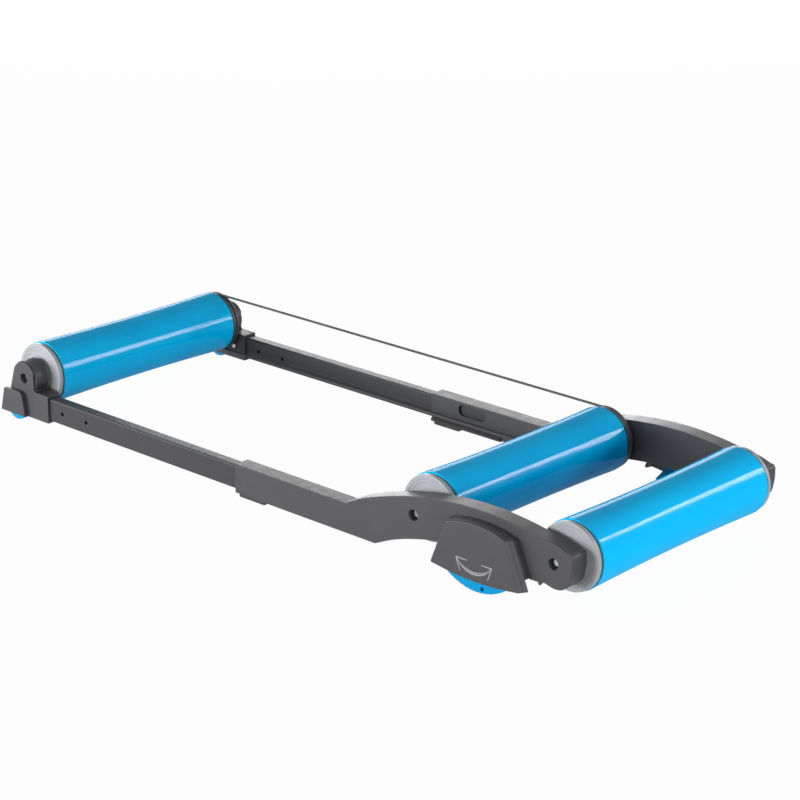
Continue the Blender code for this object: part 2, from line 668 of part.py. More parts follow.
def front_bracket(name, side):
    bracket = extruded(name, [bracket_outline()], side * (FRAME_HALF_WIDTH - BRACKET_PLATE),
                       side * FRAME_HALF_WIDTH, PARTS, CHARCOAL)
    socket = FRONT_X + BRACKET_SOCKET_END - CLEARANCE
    lower = bracket_front_edge(CLEARANCE) + [
        corner(FRONT_X - EAR_RADIUS + CLEARANCE * 2, AXLE_HEIGHT),
        corner(FRONT_X + EAR_REACH - CLEARANCE, AXLE_HEIGHT),
        corner(FRONT_X + EAR_REACH - CLEARANCE, SLEEVE_TOP - CLEARANCE),
        corner(socket, SLEEVE_TOP - CLEARANCE),
        corner(socket, SLEEVE_BOTTOM + CLEARANCE),
    ]
    body = extruded(name + "_body", [lower], side * SIDE_INNER,
                    side * (FRAME_HALF_WIDTH - BRACKET_PLATE / 2), CUTTERS)
    boss = axle_boss(name + "_boss", side, FRONT_X, BRACKET_BOSS_RADIUS,
                     FRAME_HALF_WIDTH - BRACKET_PLATE + CLEARANCE, SIDE_INNER - CLEARANCE)
    combine(bracket, "UNION", body, boss)
    channel = block(name + "_channel",
                    (FRONT_X + BRACKET_SOCKET_FLOOR, FRONT_X + BRACKET_SOCKET_END + OVERRUN),
                    (SPACE_INNER, SPACE_OUTER),
                    (RAIL_Z - RAIL_HEIGHT / 2 - CLEARANCE, RAIL_Z + RAIL_HEIGHT / 2 + CLEARANCE),
                    side, CUTTERS)
    pocket = rod(name + "_pocket", WHEEL_RADIUS + WHEEL_ROOM, WHEEL_POCKET_FLOOR,
                 FRAME_HALF_WIDTH + OVERRUN, side, (WHEEL_X, WHEEL_RADIUS), CUTTERS, steps=WHEEL_STEPS)
    pin_hole = rod(name + "_pin_hole", FOOT_PIN_RADIUS + CLEARANCE, SIDE_INNER + WHEEL_PIN_WALL,
                   WHEEL_POCKET_FLOOR + OVERRUN, side, (WHEEL_X, WHEEL_RADIUS), CUTTERS)
    fixing_hole = rod(name + "_fixing_hole", FIXING_RADIUS + CLEARANCE, SIDE_INNER - OVERRUN, RAIL_Y, side,
                      (FRONT_X + FIXING_REACH, RAIL_Z), CUTTERS)
    combine(bracket, "DIFFERENCE", channel, pocket, pin_hole, fixing_hole,
            axle_cutter(name + "_seat", side, FRONT_X))
    return bracket


def front_cover_outline(inset=0.0):
    low = AXLE_HEIGHT - FRONT_COVER_LOW + inset
    high = AXLE_HEIGHT - FRONT_COVER_HIGH - inset
    points = [
        corner(FRONT_X - FRONT_COVER_REACH + inset, low),
        corner(FRONT_X + FRONT_COVER_BACK - inset, low),
    ]
    points += [smooth(FRONT_X + out - inset, high - fall) for out, fall in FRONT_COVER_SHOULDER]
    points.append(corner(FRONT_X - FRONT_COVER_TOP_FRONT + inset, high))
    return points


def front_foot_cover(name, side):
    base = FRAME_HALF_WIDTH + CLEARANCE
    face = FRAME_HALF_WIDTH + FRONT_COVER_PROUD
    cover = extruded(name, [front_cover_outline()], side * base, side * face, PARTS, CHARCOAL)
    soften(cover, COVER_EDGE)
    floor = face - FRONT_COVER_WALL
    hollow = extruded(name + "_hollow", [front_cover_outline(FRONT_COVER_WALL)],
                      side * (base - OVERRUN), side * floor, CUTTERS)
    boss = rod(name + "_boss", FOOT_PIN_RADIUS + WHEEL_PIN_WALL, base, floor + FRONT_COVER_WALL / 2, side,
               (WHEEL_X, WHEEL_RADIUS), CUTTERS)
    hole = rod(name + "_hole", FOOT_PIN_RADIUS + CLEARANCE, base - OVERRUN, floor, side,
               (WHEEL_X, WHEEL_RADIUS), CUTTERS)
    combine(cover, "DIFFERENCE", hollow)
    combine(cover, "UNION", boss)
    combine(cover, "DIFFERENCE", hole)
    return cover


def rear_foot_cover(name, side):
    base = FRAME_HALF_WIDTH + HOUSING_DEPTH + CLEARANCE
    face = FRAME_HALF_WIDTH + COVER_PROUD
    floor = face - COVER_WALL
    cover = extruded(name, [flared(cover_outline(), COVER_FLARE)], side * base, side * face, PARTS,
                     CHARCOAL)
    draft_outer_end(cover, side, COVER_X, 1 / flare_spread(COVER_FLARE))
    soften(cover, COVER_EDGE)
    hollow = extruded(name + "_hollow",
                      [flared(cover_outline(COVER_WALL, COVER_DROP + OVERRUN), COVER_FLARE)],
                      side * (base - OVERRUN), side * floor, CUTTERS)
    draft_outer_end(hollow, side, COVER_X, 1 / flare_spread(COVER_HOLLOW_FLARE))
    combine(cover, "DIFFERENCE", hollow)
    place = (FOOT_X, ROCKER_PIN_HEIGHT)
    boss = rod(name + "_boss", FOOT_PIN_RADIUS + COVER_BOSS_WALL, ROCKER_HIGH + CLEARANCE,
               floor + COVER_WALL / 2, side, place, CUTTERS, steps=16)
    hole = rod(name + "_hole", FOOT_PIN_RADIUS + CLEARANCE, ROCKER_HIGH - OVERRUN, floor, side, place,
               CUTTERS, steps=16)
    combine(cover, "UNION", boss)
    combine(cover, "DIFFERENCE", hole)
    return cover


def rear_foot_rocker(name, side):
    """A curved foot that hangs on its pin and stands on a facet of its arc."""
    facet = 2 * ROCKER_ANGLE / ROCKER_FACETS
    centre_z = ROCKER_RADIUS * math.cos(math.radians(facet / 2))
    outline = arc(FOOT_X, centre_z, ROCKER_RADIUS, 270 - ROCKER_ANGLE, 270 + ROCKER_ANGLE, ROCKER_FACETS)
    outline += arc(FOOT_X, ROCKER_PIN_HEIGHT, ROCKER_EYE, -35, 215, 8)
    rocker = extruded(name, [outline], side * ROCKER_LOW, side * ROCKER_HIGH, PARTS, BLUE)
    hole = rod(name + "_hole", FOOT_PIN_RADIUS + CLEARANCE, ROCKER_LOW - OVERRUN, ROCKER_HIGH + OVERRUN,
               side, (FOOT_X, ROCKER_PIN_HEIGHT), CUTTERS, steps=16)
    mark = rod(name + "_mark", ROCKER_MARK_RADIUS, ROCKER_HIGH - OVERRUN, ROCKER_HIGH + OVERRUN, side,
               (FOOT_X, ROCKER_MARK_HEIGHT), CUTTERS)
    combine(rocker, "DIFFERENCE", hole, mark)
    return rocker


def front_foot_wheel(name, side):
    inner = WHEEL_POCKET_FLOOR + WHEEL_PLAY
    outer = inner + WHEEL_WIDTH
    bore = FOOT_PIN_RADIUS + CLEARANCE
    profile = [
        (WHEEL_RADIUS - WHEEL_CHAMFER, outer),
        (WHEEL_RADIUS, outer - WHEEL_CHAMFER),
        (WHEEL_RADIUS, inner + WHEEL_CHAMFER),
        (WHEEL_RADIUS - WHEEL_CHAMFER, inner),
        (bore, inner),
        (bore, outer),
    ]
    return turned(name, profile, side, (WHEEL_X, WHEEL_RADIUS), PARTS, BLUE, WHEEL_STEPS, facet_down=True)


def drum_shell(name, x):
    profile = []
    for i in range(WAIST_STEPS + 1):
        out = DRUM_HALF_LENGTH * (1 - 2 * i / WAIST_STEPS)
        swell = (DRUM_END_RADIUS - DRUM_WAIST_RADIUS) * (out / DRUM_HALF_LENGTH) ** 2
        profile.append((DRUM_WAIST_RADIUS + swell, out))
    shoulder = DRUM_HALF_LENGTH - DRUM_SEAT_DEPTH
    profile += [
        (CAP_SEAT_RADIUS, -DRUM_HALF_LENGTH), (CAP_SEAT_RADIUS, -shoulder), (DRUM_BORE, -shoulder),
        (DRUM_BORE, shoulder), (CAP_SEAT_RADIUS, shoulder), (CAP_SEAT_RADIUS, DRUM_HALF_LENGTH),
    ]
    return turned(name, profile, 1, (x, AXLE_HEIGHT), PARTS, BLUE, DRUM_STEPS)


def end_cap(name, side, x, grooved):
    """Cap pressed in a drum's end: spigot, web, bearing seat and, on the belt side, a groove."""
    neck = CAP_SEAT_RADIUS - CLEARANCE
    inner = neck - CAP_SPIGOT_WALL
    spigot = DRUM_HALF_LENGTH - DRUM_SEAT_DEPTH + CLEARANCE
    face = CAP_FACE - CAP_FACE_RECESS
    seat = BEARING_RADIUS + CLEARANCE
    hub = seat + CAP_HUB_WALL
    shoulder = seat - CAP_HUB_WALL
    seat_floor = CAP_FACE - BEARING_WIDTH - CLEARANCE
    lug = seat_floor - CAP_HUB_WALL
    rim = CAP_RADIUS - CAP_RIM_WIDTH
    profile = [(hub, HUB_FACE), (hub, face), (rim, face)]
    if grooved:
        groove = BELT_LINE_RADIUS - BELT_RADIUS - BELT_GROOVE_ROOM
        start = CAP_START + BELT_GROOVE_FLANGE
        end = start + 2 * (BELT_RADIUS + BELT_GROOVE_PLAY)
        profile += [(rim, end + BELT_GROOVE_FLANGE), (CAP_RADIUS, end + BELT_GROOVE_FLANGE)]
        profile += [(CAP_RADIUS, end), (groove, end), (groove, start), (CAP_RADIUS, start)]
    else:
        profile += [(rim, CAP_FACE), (CAP_RADIUS - CAP_CHAMFER, CAP_FACE)]
        profile.append((CAP_RADIUS, CAP_FACE - CAP_CHAMFER))
    web = face - CAP_WEB
    profile += [
        (CAP_RADIUS, CAP_START), (neck, CAP_START), (neck, spigot), (inner, spigot), (inner, web),
        (hub, web), (hub, lug), (shoulder, lug), (shoulder, seat_floor), (seat, seat_floor),
        (seat, HUB_FACE),
    ]
    material = DARK_GREY if grooved else GREY
    return turned(name, profile, side, (x, AXLE_HEIGHT), PARTS, material, CAP_STEPS)


def seal_ring(name, side, x):
    end = SEAL_START + SEAL_THICKNESS
    profile = [
        (SEAL_RADIUS, end), (SEAL_RADIUS, SEAL_START), (CAP_SEAT_RADIUS, SEAL_START), (CAP_SEAT_RADIUS, end),
    ]
    return turned(name, profile, side, (x, AXLE_HEIGHT), PARTS, BLACK, CAP_STEPS)


def bearing(name, side, x):
    bore = AXLE_RADIUS + CLEARANCE
    inner = CAP_FACE - BEARING_WIDTH
    profile = [(BEARING_RADIUS, CAP_FACE), (BEARING_RADIUS, inner), (bore, inner), (bore, CAP_FACE)]
    return turned(name, profile, side, (x, AXLE_HEIGHT), PARTS, STEEL)


def axle(name, x):
    thread = SCREW_RADIUS + CLEARANCE
    bottom = AXLE_HALF - SCREW_LENGTH
    profile = [
        (0.0, bottom), (thread, bottom), (thread, AXLE_HALF), (AXLE_RADIUS, AXLE_HALF),
        (AXLE_RADIUS, -AXLE_HALF), (thread, -AXLE_HALF), (thread, -bottom), (0.0, -bottom),
    ]
    return turned(name, profile, 1, (x, AXLE_HEIGHT), PARTS, STEEL)


def axle_screw(name, side, x):
    seat = FRAME_HALF_WIDTH - RECESS_DEPTH + CLEARANCE
    top = seat + SCREW_HEAD
    tip = seat - SCREW_LENGTH
    profile = [
        (0.0, top), (SCREW_HEAD_RADIUS - 0.001, top), (SCREW_HEAD_RADIUS, top - 0.001),
        (SCREW_HEAD_RADIUS, seat), (SCREW_RADIUS, seat), (SCREW_RADIUS, tip), (0.0, tip),
    ]
    return turned(name, profile, side, (x, AXLE_HEIGHT), PARTS, STEEL, 12)


def bracket_screw(name, side):
    seat = SIDE_INNER - CLEARANCE
    profile = [
        (0.0, seat + FIXING_LENGTH), (FIXING_RADIUS, seat + FIXING_LENGTH), (FIXING_RADIUS, seat),
        (FIXING_HEAD_RADIUS, seat), (FIXING_HEAD_RADIUS, seat - FIXING_HEAD), (0.0, seat - FIXING_HEAD),
    ]
    return turned(name, profile, side, (FRONT_X + FIXING_REACH, RAIL_Z), PARTS, STEEL, 12)


def drive_belt(name):
    """Round cord in one loop over the grooves of the front and middle drums."""
    groove_middle = CAP_START + BELT_GROOVE_FLANGE + BELT_RADIUS + BELT_GROOVE_PLAY
    curve = bpy.data.curves.new(name, "CURVE")
    curve.dimensions = "3D"
    curve.bevel_depth = BELT_RADIUS
    curve.bevel_resolution = 2
    points = []
    for x, start in ((FRONT_X, 90), (MIDDLE_X, -90)):
        points += arc(x, AXLE_HEIGHT, BELT_LINE_RADIUS, start, start + 180, BELT_STEPS)
    spline = curve.splines.new("POLY")
    spline.points.add(len(points) - 1)
    spline.use_cyclic_u = True
    for point, (x, z, _) in zip(spline.points, points):
        point.co = (x, groove_middle, z, 1.0)
    return new_object(name, curve, PARTS, BELT)


def release_lever(name, side):
    """Flap in the sleeve's floor with a lip up its inner side and a finger tab below."""
    front = MOUTH_X + LEVER_ROOM
    low = SLEEVE_BOTTOM
    inner = SIDE_INNER - LEVER_LEDGE
    lip = SPACE_INNER - CLEARANCE
    lip_top = low + LEVER_LIP_HEIGHT
    section = [
        corner(side * (SPACE_OUTER - CLEARANCE), low),
        corner(side * (SPACE_OUTER - CLEARANCE), LEVER_TOP - CLEARANCE),
        corner(side * lip, LEVER_TOP - CLEARANCE),
        corner(side * lip, lip_top),
        corner(side * SIDE_INNER, lip_top),
        corner(side * inner, lip_top - LEVER_LEDGE),
        corner(side * inner, low),
    ]
    lever = extruded(name, [section], front, HINGE_X - LEVER_KNUCKLE, PARTS, BLACK, along="X")
    knuckle = block(name + "_knuckle", (HINGE_X - LEVER_KNUCKLE_GRIP, HINGE_X + LEVER_TAIL),
                    (SPACE_INNER + CLEARANCE, SPACE_OUTER - CLEARANCE),
                    (low, LEVER_TOP - CLEARANCE), side, CUTTERS)
    tab_span = (MOUTH_X + TAB_SETBACK, MOUTH_X + TAB_SETBACK + TAB_LENGTH)
    tab_inner = inner + TAB_INSET
    tab = block(name + "_tab", tab_span, (tab_inner, FRAME_HALF_WIDTH - TAB_INSET),
                (low - TAB_DEPTH, low - CLEARANCE), side, CUTTERS)
    root = block(name + "_root", tab_span, (tab_inner, SPACE_OUTER - 2 * CLEARANCE),
                 (low - TAB_DEPTH / 2, (low + LEVER_TOP) / 2), side, CUTTERS)
    combine(lever, "UNION", knuckle, root, tab)
    gap = (SPRING_TURNS + 2) * SPRING_PITCH
    notch = block(name + "_notch", (HINGE_X - LEVER_KNUCKLE + CLEARANCE, HINGE_X + OVERRUN),
                  (RAIL_Y - gap / 2, RAIL_Y + gap / 2), (low - OVERRUN, LEVER_TOP + OVERRUN), side, CUTTERS)
    hole = rod(name + "_hole", LEVER_PIN_RADIUS + CLEARANCE, SPACE_INNER - OVERRUN, SPACE_OUTER + OVERRUN,
               side, (HINGE_X, LEVER_Z), CUTTERS)
    combine(lever, "DIFFERENCE", notch, hole)
    return lever


def lever_spring(name, side):
    """Coil round the lever's pin, in the notch of its knuckle."""
    curve = bpy.data.curves.new(name, "CURVE")
    curve.dimensions = "3D"
    curve.bevel_depth = SPRING_WIRE
    curve.bevel_resolution = 1
    curve.use_fill_caps = True
    per_turn = 8
    count = SPRING_TURNS * per_turn + 1
    spline = curve.splines.new("POLY")
    spline.points.add(count - 1)
    for i, point in enumerate(spline.points):
        angle = 2 * math.pi * i / per_turn
        x = HINGE_X + SPRING_MEAN * math.cos(angle)
        z = LEVER_Z + SPRING_MEAN * math.sin(angle)
        y = side * RAIL_Y + SPRING_PITCH * (i / per_turn - SPRING_TURNS / 2)
        point.co = (x, y, z, 1.0)
    return plain_mesh(new_object(name, curve, PARTS, STEEL))


def build_side(label, side):
    rear_arm(label + "_rear_arm", side)
    rear_foot_cover(label + "_rear_foot_cover", side)
    pin_start = SPACE_OUTER - PIN_SEAT_DEPTH + CLEARANCE
    pin_end = FRAME_HALF_WIDTH + COVER_PROUD - COVER_WALL - CLEARANCE
    rod(label + "_rocker_pin", FOOT_PIN_RADIUS, pin_start, pin_end, side, (FOOT_X, ROCKER_PIN_HEIGHT),
        PARTS, STEEL)
    rod(label + "_lever_pin", LEVER_PIN_RADIUS, SIDE_INNER + CLEARANCE, FRAME_HALF_WIDTH - LEVER_PIN_INSET,
        side, (HINGE_X, LEVER_Z), PARTS, STEEL, steps=8)
    lever_spring(label + "_lever_spring", side)
    front_parts = [
        inner_rail(label + "_inner_rail", side),
        rail_end_stop(label + "_rail_end_stop", side),
        front_bracket(label + "_front_bracket", side),
        front_foot_cover(label + "_front_foot_cover", side),
        bracket_screw(label + "_bracket_screw", side),
        rod(label + "_wheel_pin", FOOT_PIN_RADIUS, SIDE_INNER + WHEEL_PIN_WALL + CLEARANCE,
            FRAME_HALF_WIDTH + FRONT_COVER_PROUD - FRONT_COVER_WALL - CLEARANCE, side,
            (WHEEL_X, WHEEL_RADIUS), PARTS, STEEL),
    ]
    front_foot_wheel(label + "_front_foot_wheel", side)
    rocker = rear_foot_rocker(label + "_rear_foot_rocker", side)
    joint_empty(label + "_rocker_pivot", (FOOT_X, side * FRAME_HALF_WIDTH, ROCKER_PIN_HEIGHT), [rocker])
    lever = release_lever(label + "_release_lever", side)
    joint_empty(label + "_lever_pivot", (HINGE_X, side * RAIL_Y, LEVER_Z), [lever])
    return front_parts


def build_drum(label, x):
    drum_shell(label + "_drum_shell", x)
    for side_name, side in SIDES:
        grooved = side == 1 and label != "rear"
        name = label + "_" + side_name
        end_cap(name + "_end_cap", side, x, grooved)
        seal_ring(name + "_seal_ring", side, x)
        bearing(name + "_bearing", side, x)
    fixed = [axle(label + "_axle", x)]
    for side_name, side in SIDES:
        fixed.append(axle_screw(label + "_" + side_name + "_axle_screw", side, x))
    return fixed


clear_scene()
PARTS = make_collection("bike_rollers")
CUTTERS = make_collection("cutters")
BLUE = make_material("blue_abs", (0.0, 0.38, 0.75), 0.28)
GREY = make_material("grey_nylon", (0.46, 0.48, 0.50), 0.45)
DARK_GREY = make_material("dark_grey_nylon", (0.10, 0.11, 0.12), 0.45)
CHARCOAL = make_material("charcoal_nylon", (0.10, 0.10, 0.11), 0.5)
RAIL_PAINT = make_material("black_enamel", (0.06, 0.06, 0.065), 0.4)
BLACK = make_material("black_rubber", (0.012, 0.012, 0.013), 0.6)
BELT = make_material("belt_rubber", (0.02, 0.02, 0.02), 0.55)
STEEL = make_material("zinc_plated_steel", (0.62, 0.63, 0.64), 0.3, 1.0)

front_frame = []
for side_label, side_sign in SIDES:
    front_frame += build_side(side_label, side_sign)
front_frame += build_drum("front", FRONT_X)
build_drum("middle", MIDDLE_X)
build_drum("rear", REAR_X)
drive_belt("drive_belt")
joint_empty("front_frame_slide", (RAIL_FRONT_X, 0.0, RAIL_Z), front_frame)
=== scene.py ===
"""Bike training rollers as a finished object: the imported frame, dressed piece by piece.

Metres, +Z up. The front drum is towards -X and the left side is towards -Y.
"""

import json
import math

import bmesh
import bpy
import numpy as np
from bpy.props import FloatProperty, FloatVectorProperty, IntProperty, PointerProperty
from mathutils import Matrix, Vector

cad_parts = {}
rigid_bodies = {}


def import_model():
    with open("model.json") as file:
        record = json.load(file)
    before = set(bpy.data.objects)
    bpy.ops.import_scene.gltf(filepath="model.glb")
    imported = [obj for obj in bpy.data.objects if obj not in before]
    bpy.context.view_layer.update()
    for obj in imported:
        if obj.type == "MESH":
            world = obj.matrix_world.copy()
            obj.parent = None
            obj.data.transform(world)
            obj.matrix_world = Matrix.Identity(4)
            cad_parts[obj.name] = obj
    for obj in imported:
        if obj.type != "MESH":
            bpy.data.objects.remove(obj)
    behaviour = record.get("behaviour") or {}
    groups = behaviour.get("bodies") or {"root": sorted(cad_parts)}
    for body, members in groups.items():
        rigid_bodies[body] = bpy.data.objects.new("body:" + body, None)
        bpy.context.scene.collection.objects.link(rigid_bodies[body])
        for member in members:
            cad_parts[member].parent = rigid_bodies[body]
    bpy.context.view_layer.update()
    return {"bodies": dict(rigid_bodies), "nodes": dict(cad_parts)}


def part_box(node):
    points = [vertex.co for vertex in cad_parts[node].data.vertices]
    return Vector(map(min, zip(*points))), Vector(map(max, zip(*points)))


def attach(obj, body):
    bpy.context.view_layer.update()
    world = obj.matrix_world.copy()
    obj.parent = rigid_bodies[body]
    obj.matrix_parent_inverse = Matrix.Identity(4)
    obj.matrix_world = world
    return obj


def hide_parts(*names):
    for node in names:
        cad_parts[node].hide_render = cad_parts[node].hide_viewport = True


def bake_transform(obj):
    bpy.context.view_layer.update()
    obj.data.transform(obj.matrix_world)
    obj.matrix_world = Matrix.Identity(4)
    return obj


bl_info = {
    "name": "Bike rollers",
    "version": (1, 0, 0),
    "blender": (4, 5, 0),
    "location": "View3D > Sidebar > Rollers",
    "description": "Builds a set of folding bike training rollers round its packed frame",
    "category": "Object",
}

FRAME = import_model()


def middle_of(node):
    """The middle of a CAD node's box."""
    low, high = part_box(node)
    return (low + high) / 2


def linear(code):
    """A colour written as sRGB hex, such as "0096d2", in linear light."""
    channels = []
    for i in (0, 2, 4):
        value = int(code[i:i + 2], 16) / 255
        channels.append(value / 12.92 if value <= 0.04045 else ((value + 0.055) / 1.055) ** 2.4)
    return tuple(channels)


# Places taken from the frame
DRUMS = ("front", "middle", "rear")
AXLE_X = {label: middle_of(label + "_drum_shell").x for label in DRUMS}
AXLE_Z = middle_of("middle_drum_shell").z
DRUM_BODY = {label: label + "_drum" for label in DRUMS}
SIDES = (("left", -1), ("right", 1))

# Gaps, holes and distances that several pieces share. An overrun is how far a tool passes a face
CLEARANCE = 0.0003
OVERRUN = 0.004
PIN_HOLE = 0.0033
AXLE_HOLE = 0.0053
HINGE_HOLE = 0.0013
FIXING_HOLE = 0.0023
FIXING_X = AXLE_X["front"] + 0.034
HAIR = 0.00005
WELD = 0.000002
CUT_WELD = 0.000005

# Drum tubes and their ends, along the axle from the machine's middle plane
DRUM_HALF = 0.197
DRUM_END_RADIUS = 0.0535
DRUM_WAIST_RADIUS = 0.0505
DRUM_BORE = 0.0475
CAP_SEAT = 0.050
SEAT_DEPTH = 0.012
SEAL_START = 0.1973
SEAL_END = 0.2003
SEAL_RADIUS = 0.0515
CAP_START = 0.2006
CAP_FACE = 0.2081
CAP_RADIUS = 0.052
CAP_WEB = 0.004
CAP_SPIGOT = 0.0035
HUB_FACE = 0.2106
HUB_WALL = 0.0027
END_STEPS = 96

# Moulded detail of a cap's face: its depth below the rim, then its lines by radius
FACE_DEPTH = 0.0015
FACE_LINE = (0.0300, 0.0316)
FACE_LINE_HEIGHT = 0.0004
FACE_STEP = (0.0402, 0.0446)
FACE_STEP_HEIGHT = 0.0007
FACE_STEP_SLOPE = 0.0006
RIM_LINE = (0.0478, 0.0487)
RIM_LINE_DEPTH = 0.0003
RIM_LINE_SLOPE = 0.0002

# Belt groove of the two caps that carry the belt
FLANGE = 0.0034
GROOVE_WIDTH = 0.0048
GROOVE_RADIUS = 0.0480

# Ball bearings and the bosses that meet them
BEARING_RADIUS = 0.015
BEARING_WIDTH = 0.009
BEARING_STEPS = 64
SHIELD = (0.0078, 0.0124)
SHIELD_DEPTH = 0.0005
NOSE_FACE = 0.2084
NOSE_RADIUS = 0.0085
ARM_BOSS = 0.018
BRACKET_BOSS = 0.030
BOSS_FILLET = 0.0015

# Side members, outward from the middle plane
SIDE_INNER = 0.216
SIDE_OUTER = 0.244
WALL = 0.0037
SPACE_INNER = SIDE_INNER + WALL
SPACE_OUTER = SIDE_OUTER - WALL
RAIL_Y = 0.230
RAIL_Z = 0.0355
RAIL_WIDTH = 0.020
RAIL_HEIGHT = 0.040
RAIL_WALL = 0.0015
RAIL_CORNER = 0.0028
BORE_CORNER = 0.0013
PRESS_HOLES = (AXLE_X["front"] + 0.093, AXLE_X["front"] + 0.1534)
PRESS_HOLE_RADIUS = 0.00325
PRESS_HOLE_MOUTH = 0.0038
PRESS_HOLE_CHAMFER = 0.0005
STOP_FLANGE = 0.0025
STOP_SKIN = 0.001
SLEEVE_TOP = 0.0595
SLEEVE_BOTTOM = 0.0115
MOUTH_X = AXLE_X["middle"] - 0.3745
NECK_X = AXLE_X["middle"] - 0.137
HEEL_X = AXLE_X["middle"] - 0.0765
FOOT_X = (AXLE_X["middle"] + AXLE_X["rear"]) / 2
COVER_X = FOOT_X + 0.0055
TAIL_X = AXLE_X["rear"] + 0.0345
SLOT_X = AXLE_X["middle"] - 0.284
SLOT_RADIUS = 0.010
SLOT_HALF = 0.020

# Screw recess of the arms and brackets
RECESS_DEPTH = 0.012
RECESS_RADIUS = 0.0085
RECESS_MOUTH = 0.0093
RECESS_CHAMFER = 0.0008
RECESS_REACH = 0.014
SCREW_GRIP = 0.004
SCREW_HOLE = 0.0033

# Lines of the rear arm: distances from an axle or the tail's end, and up or down from the axles
CROWN_AT_TAIL = (-0.0095, 0.023)
CROWN_AT_REAR = ((0.0045, 0.0293), (-0.0335, 0.035), (-0.0675, 0.0398))
CROWN_OVER_FOOT = 0.0437
CROWN_AT_MIDDLE = ((0.0515, 0.0385), (-0.0065, 0.0281), (-0.0409, 0.0192), (-0.0819, 0.0061),
                   (-0.1105, -0.0050))
TAIL_STEP = (-0.017, -0.0325)
TAIL_LOW = (0.0075, -0.0364)
TAIL_HEEL = (-0.0145, -0.0325)
TAIL_AT_END = ((-0.0060, -0.0240), (-0.0015, -0.0090), (0.0, 0.0095), (-0.002, 0.0206))
ARCH_AT_MIDDLE = ((-0.0355, -0.0487), (0.0045, -0.0365), (0.0425, -0.0286))
ARCH_OVER_FOOT = 0.023
ARCH_AT_REAR = (-0.060, -0.029)
STEP_AT_REAR = ((-0.041, -0.035), (-0.0268, -0.0345), (-0.0240, -0.0400))
HOLLOW_END = 0.015
HOLLOW_END_TOP = 0.005

# Pad that backs the drum's end at the rear axle
PAD_X = AXLE_X["rear"] - 0.0345
PAD_LOW = 0.032
PAD_HIGH = 0.0344
PAD_GAP = 0.0033
PAD_ROUND = 0.0015

# Front bracket: distances from the front axle, and up from the axles
BRACKET_REACH = 0.061
BRACKET_TOE = 0.0532
BRACKET_FRONT = ((-0.0470, -0.0360), (-0.0390, -0.0320))
EAR_RADIUS = 0.0285
EAR_SIDE = 0.025
EAR_FILLET = 0.004
EAR_END = 155
PLATE = 0.004
CHANNEL_START = 0.006

# Rear feet: pin, rocker, housing and cover. The cover's heights are up or down from the axles
PIN_Z = 0.080
PIN_WALL = 0.003
PIN_BOSS = 0.008
PIN_BOSS_START = 0.009
PIN_DEPTH = 0.007
ROCKER_LOW = 0.2426
ROCKER_HIGH = 0.2546
SOLE_RADIUS = 0.095
SOLE_HALF_ANGLE = 36
GRIP_DEPTH = 0.0005
GRIP_PITCH = 6
EYE_RADIUS = 0.012
MARK = (0.012, 0.0073)
MARK_RADIUS = 0.0034
MARK_FLOOR = 0.002
HOUSING_TOP = 0.2527
HOUSING_FOOT = 0.034
HOUSING_FLARE = 0.010
CHAMBER_FLOOR = 0.0017
COVER_BASE = 0.253
COVER_FACE = 0.266
COVER_WALL = 0.003
COVER_BOSS = 0.007
COVER_TOP_HALF = 0.055
COVER_FOOT_HALF = 0.083
COVER_SHOULDER = 0.0207
COVER_CROWN = 0.0282
COVER_FOOT = 0.0505
COVER_BOW = 0.006
COVER_FLARE = 0.0083
COVER_INNER_FLARE = 0.0033
SKIRT_LINE = ((-0.0006, 0), (-0.0003, 1), (0.0005, 1), (0.0008, 0))

# Swing arrow: along from the cover's middle, and up from the floor
ARROW_TIPS = ((-0.0337, 0.0505), (0.0330, 0.0505))
ARROW_BARBS = (((-0.0132, 0.0502), (-0.0255, 0.0308)), ((0.0138, 0.0503), (0.0263, 0.0308)))
ARROW_STROKES = ((0.0313, 0.0333), (0.0344, 0.0361))
BARB_WIDTH = 0.0019
BARB_TAPER = 0.6
INK_THICKNESS = 0.00012

# Front feet: wheel, its pocket and its cover. The cover is placed along from the front axle and
# down from the axles, and its shoulder up from its own top
WHEEL_X = AXLE_X["front"] - 0.023
WHEEL_RADIUS = 0.0245
WHEEL_WIDTH = 0.0142
WHEEL_ROUND = 0.0014
TREAD_GROOVE = 0.0005
TREAD_FLOOR = 0.0002
POCKET_FLOOR = SIDE_OUTER - 0.0152
POCKET_GAP = 0.001
WHEEL_GAP = 0.0005
FRONT_COVER_BASE = SIDE_OUTER + CLEARANCE
FRONT_COVER_FACE = 0.2525
FRONT_COVER_WALL = 0.0025
FRONT_COVER_BOSS = 0.006
FRONT_COVER_LOW = 0.0655
FRONT_COVER_HIGH = 0.0239
FRONT_COVER_FOOT = (-0.0544, 0.0081)
FRONT_COVER_TOP = -0.0446
FRONT_COVER_SHOULDER = ((0.0028, -0.0105), (0.0006, -0.0030), (-0.0035, 0.0))

# Release levers: along from the sleeve's mouth and the hinge, and up from the sleeve's underside
HINGE_X = AXLE_X["middle"] - 0.2165
LEVER_Z = (SLEEVE_BOTTOM + 0.0152) / 2
LEVER_INNER = SIDE_INNER - 0.003
LEVER_END = 0.0015
LIP_HEIGHT = 0.0069
LIP_SLOPE = 0.003
LIP_END = 0.0033
KNUCKLE = (-0.010, 0.003)
WINDOW_END = 0.0045
TAB_X = MOUTH_X + 0.007
TAB_LENGTH = 0.058
TAB_DROP = 0.005
TAB_SLOPE = 0.002
TAB_ROOT_DROP = 0.0025
RIDGES = 7
RIDGE_START = 0.011
RIDGE_PITCH = 0.006
RIDGE_RADIUS = 0.0009
RIDGE_DROP = 0.0048
SPRING_GAP = 0.0055
HINGE_WALL = 0.0015
TAB_INSET = 0.001
ROOT_INSET = 0.002
RIDGE_INSET = 0.003

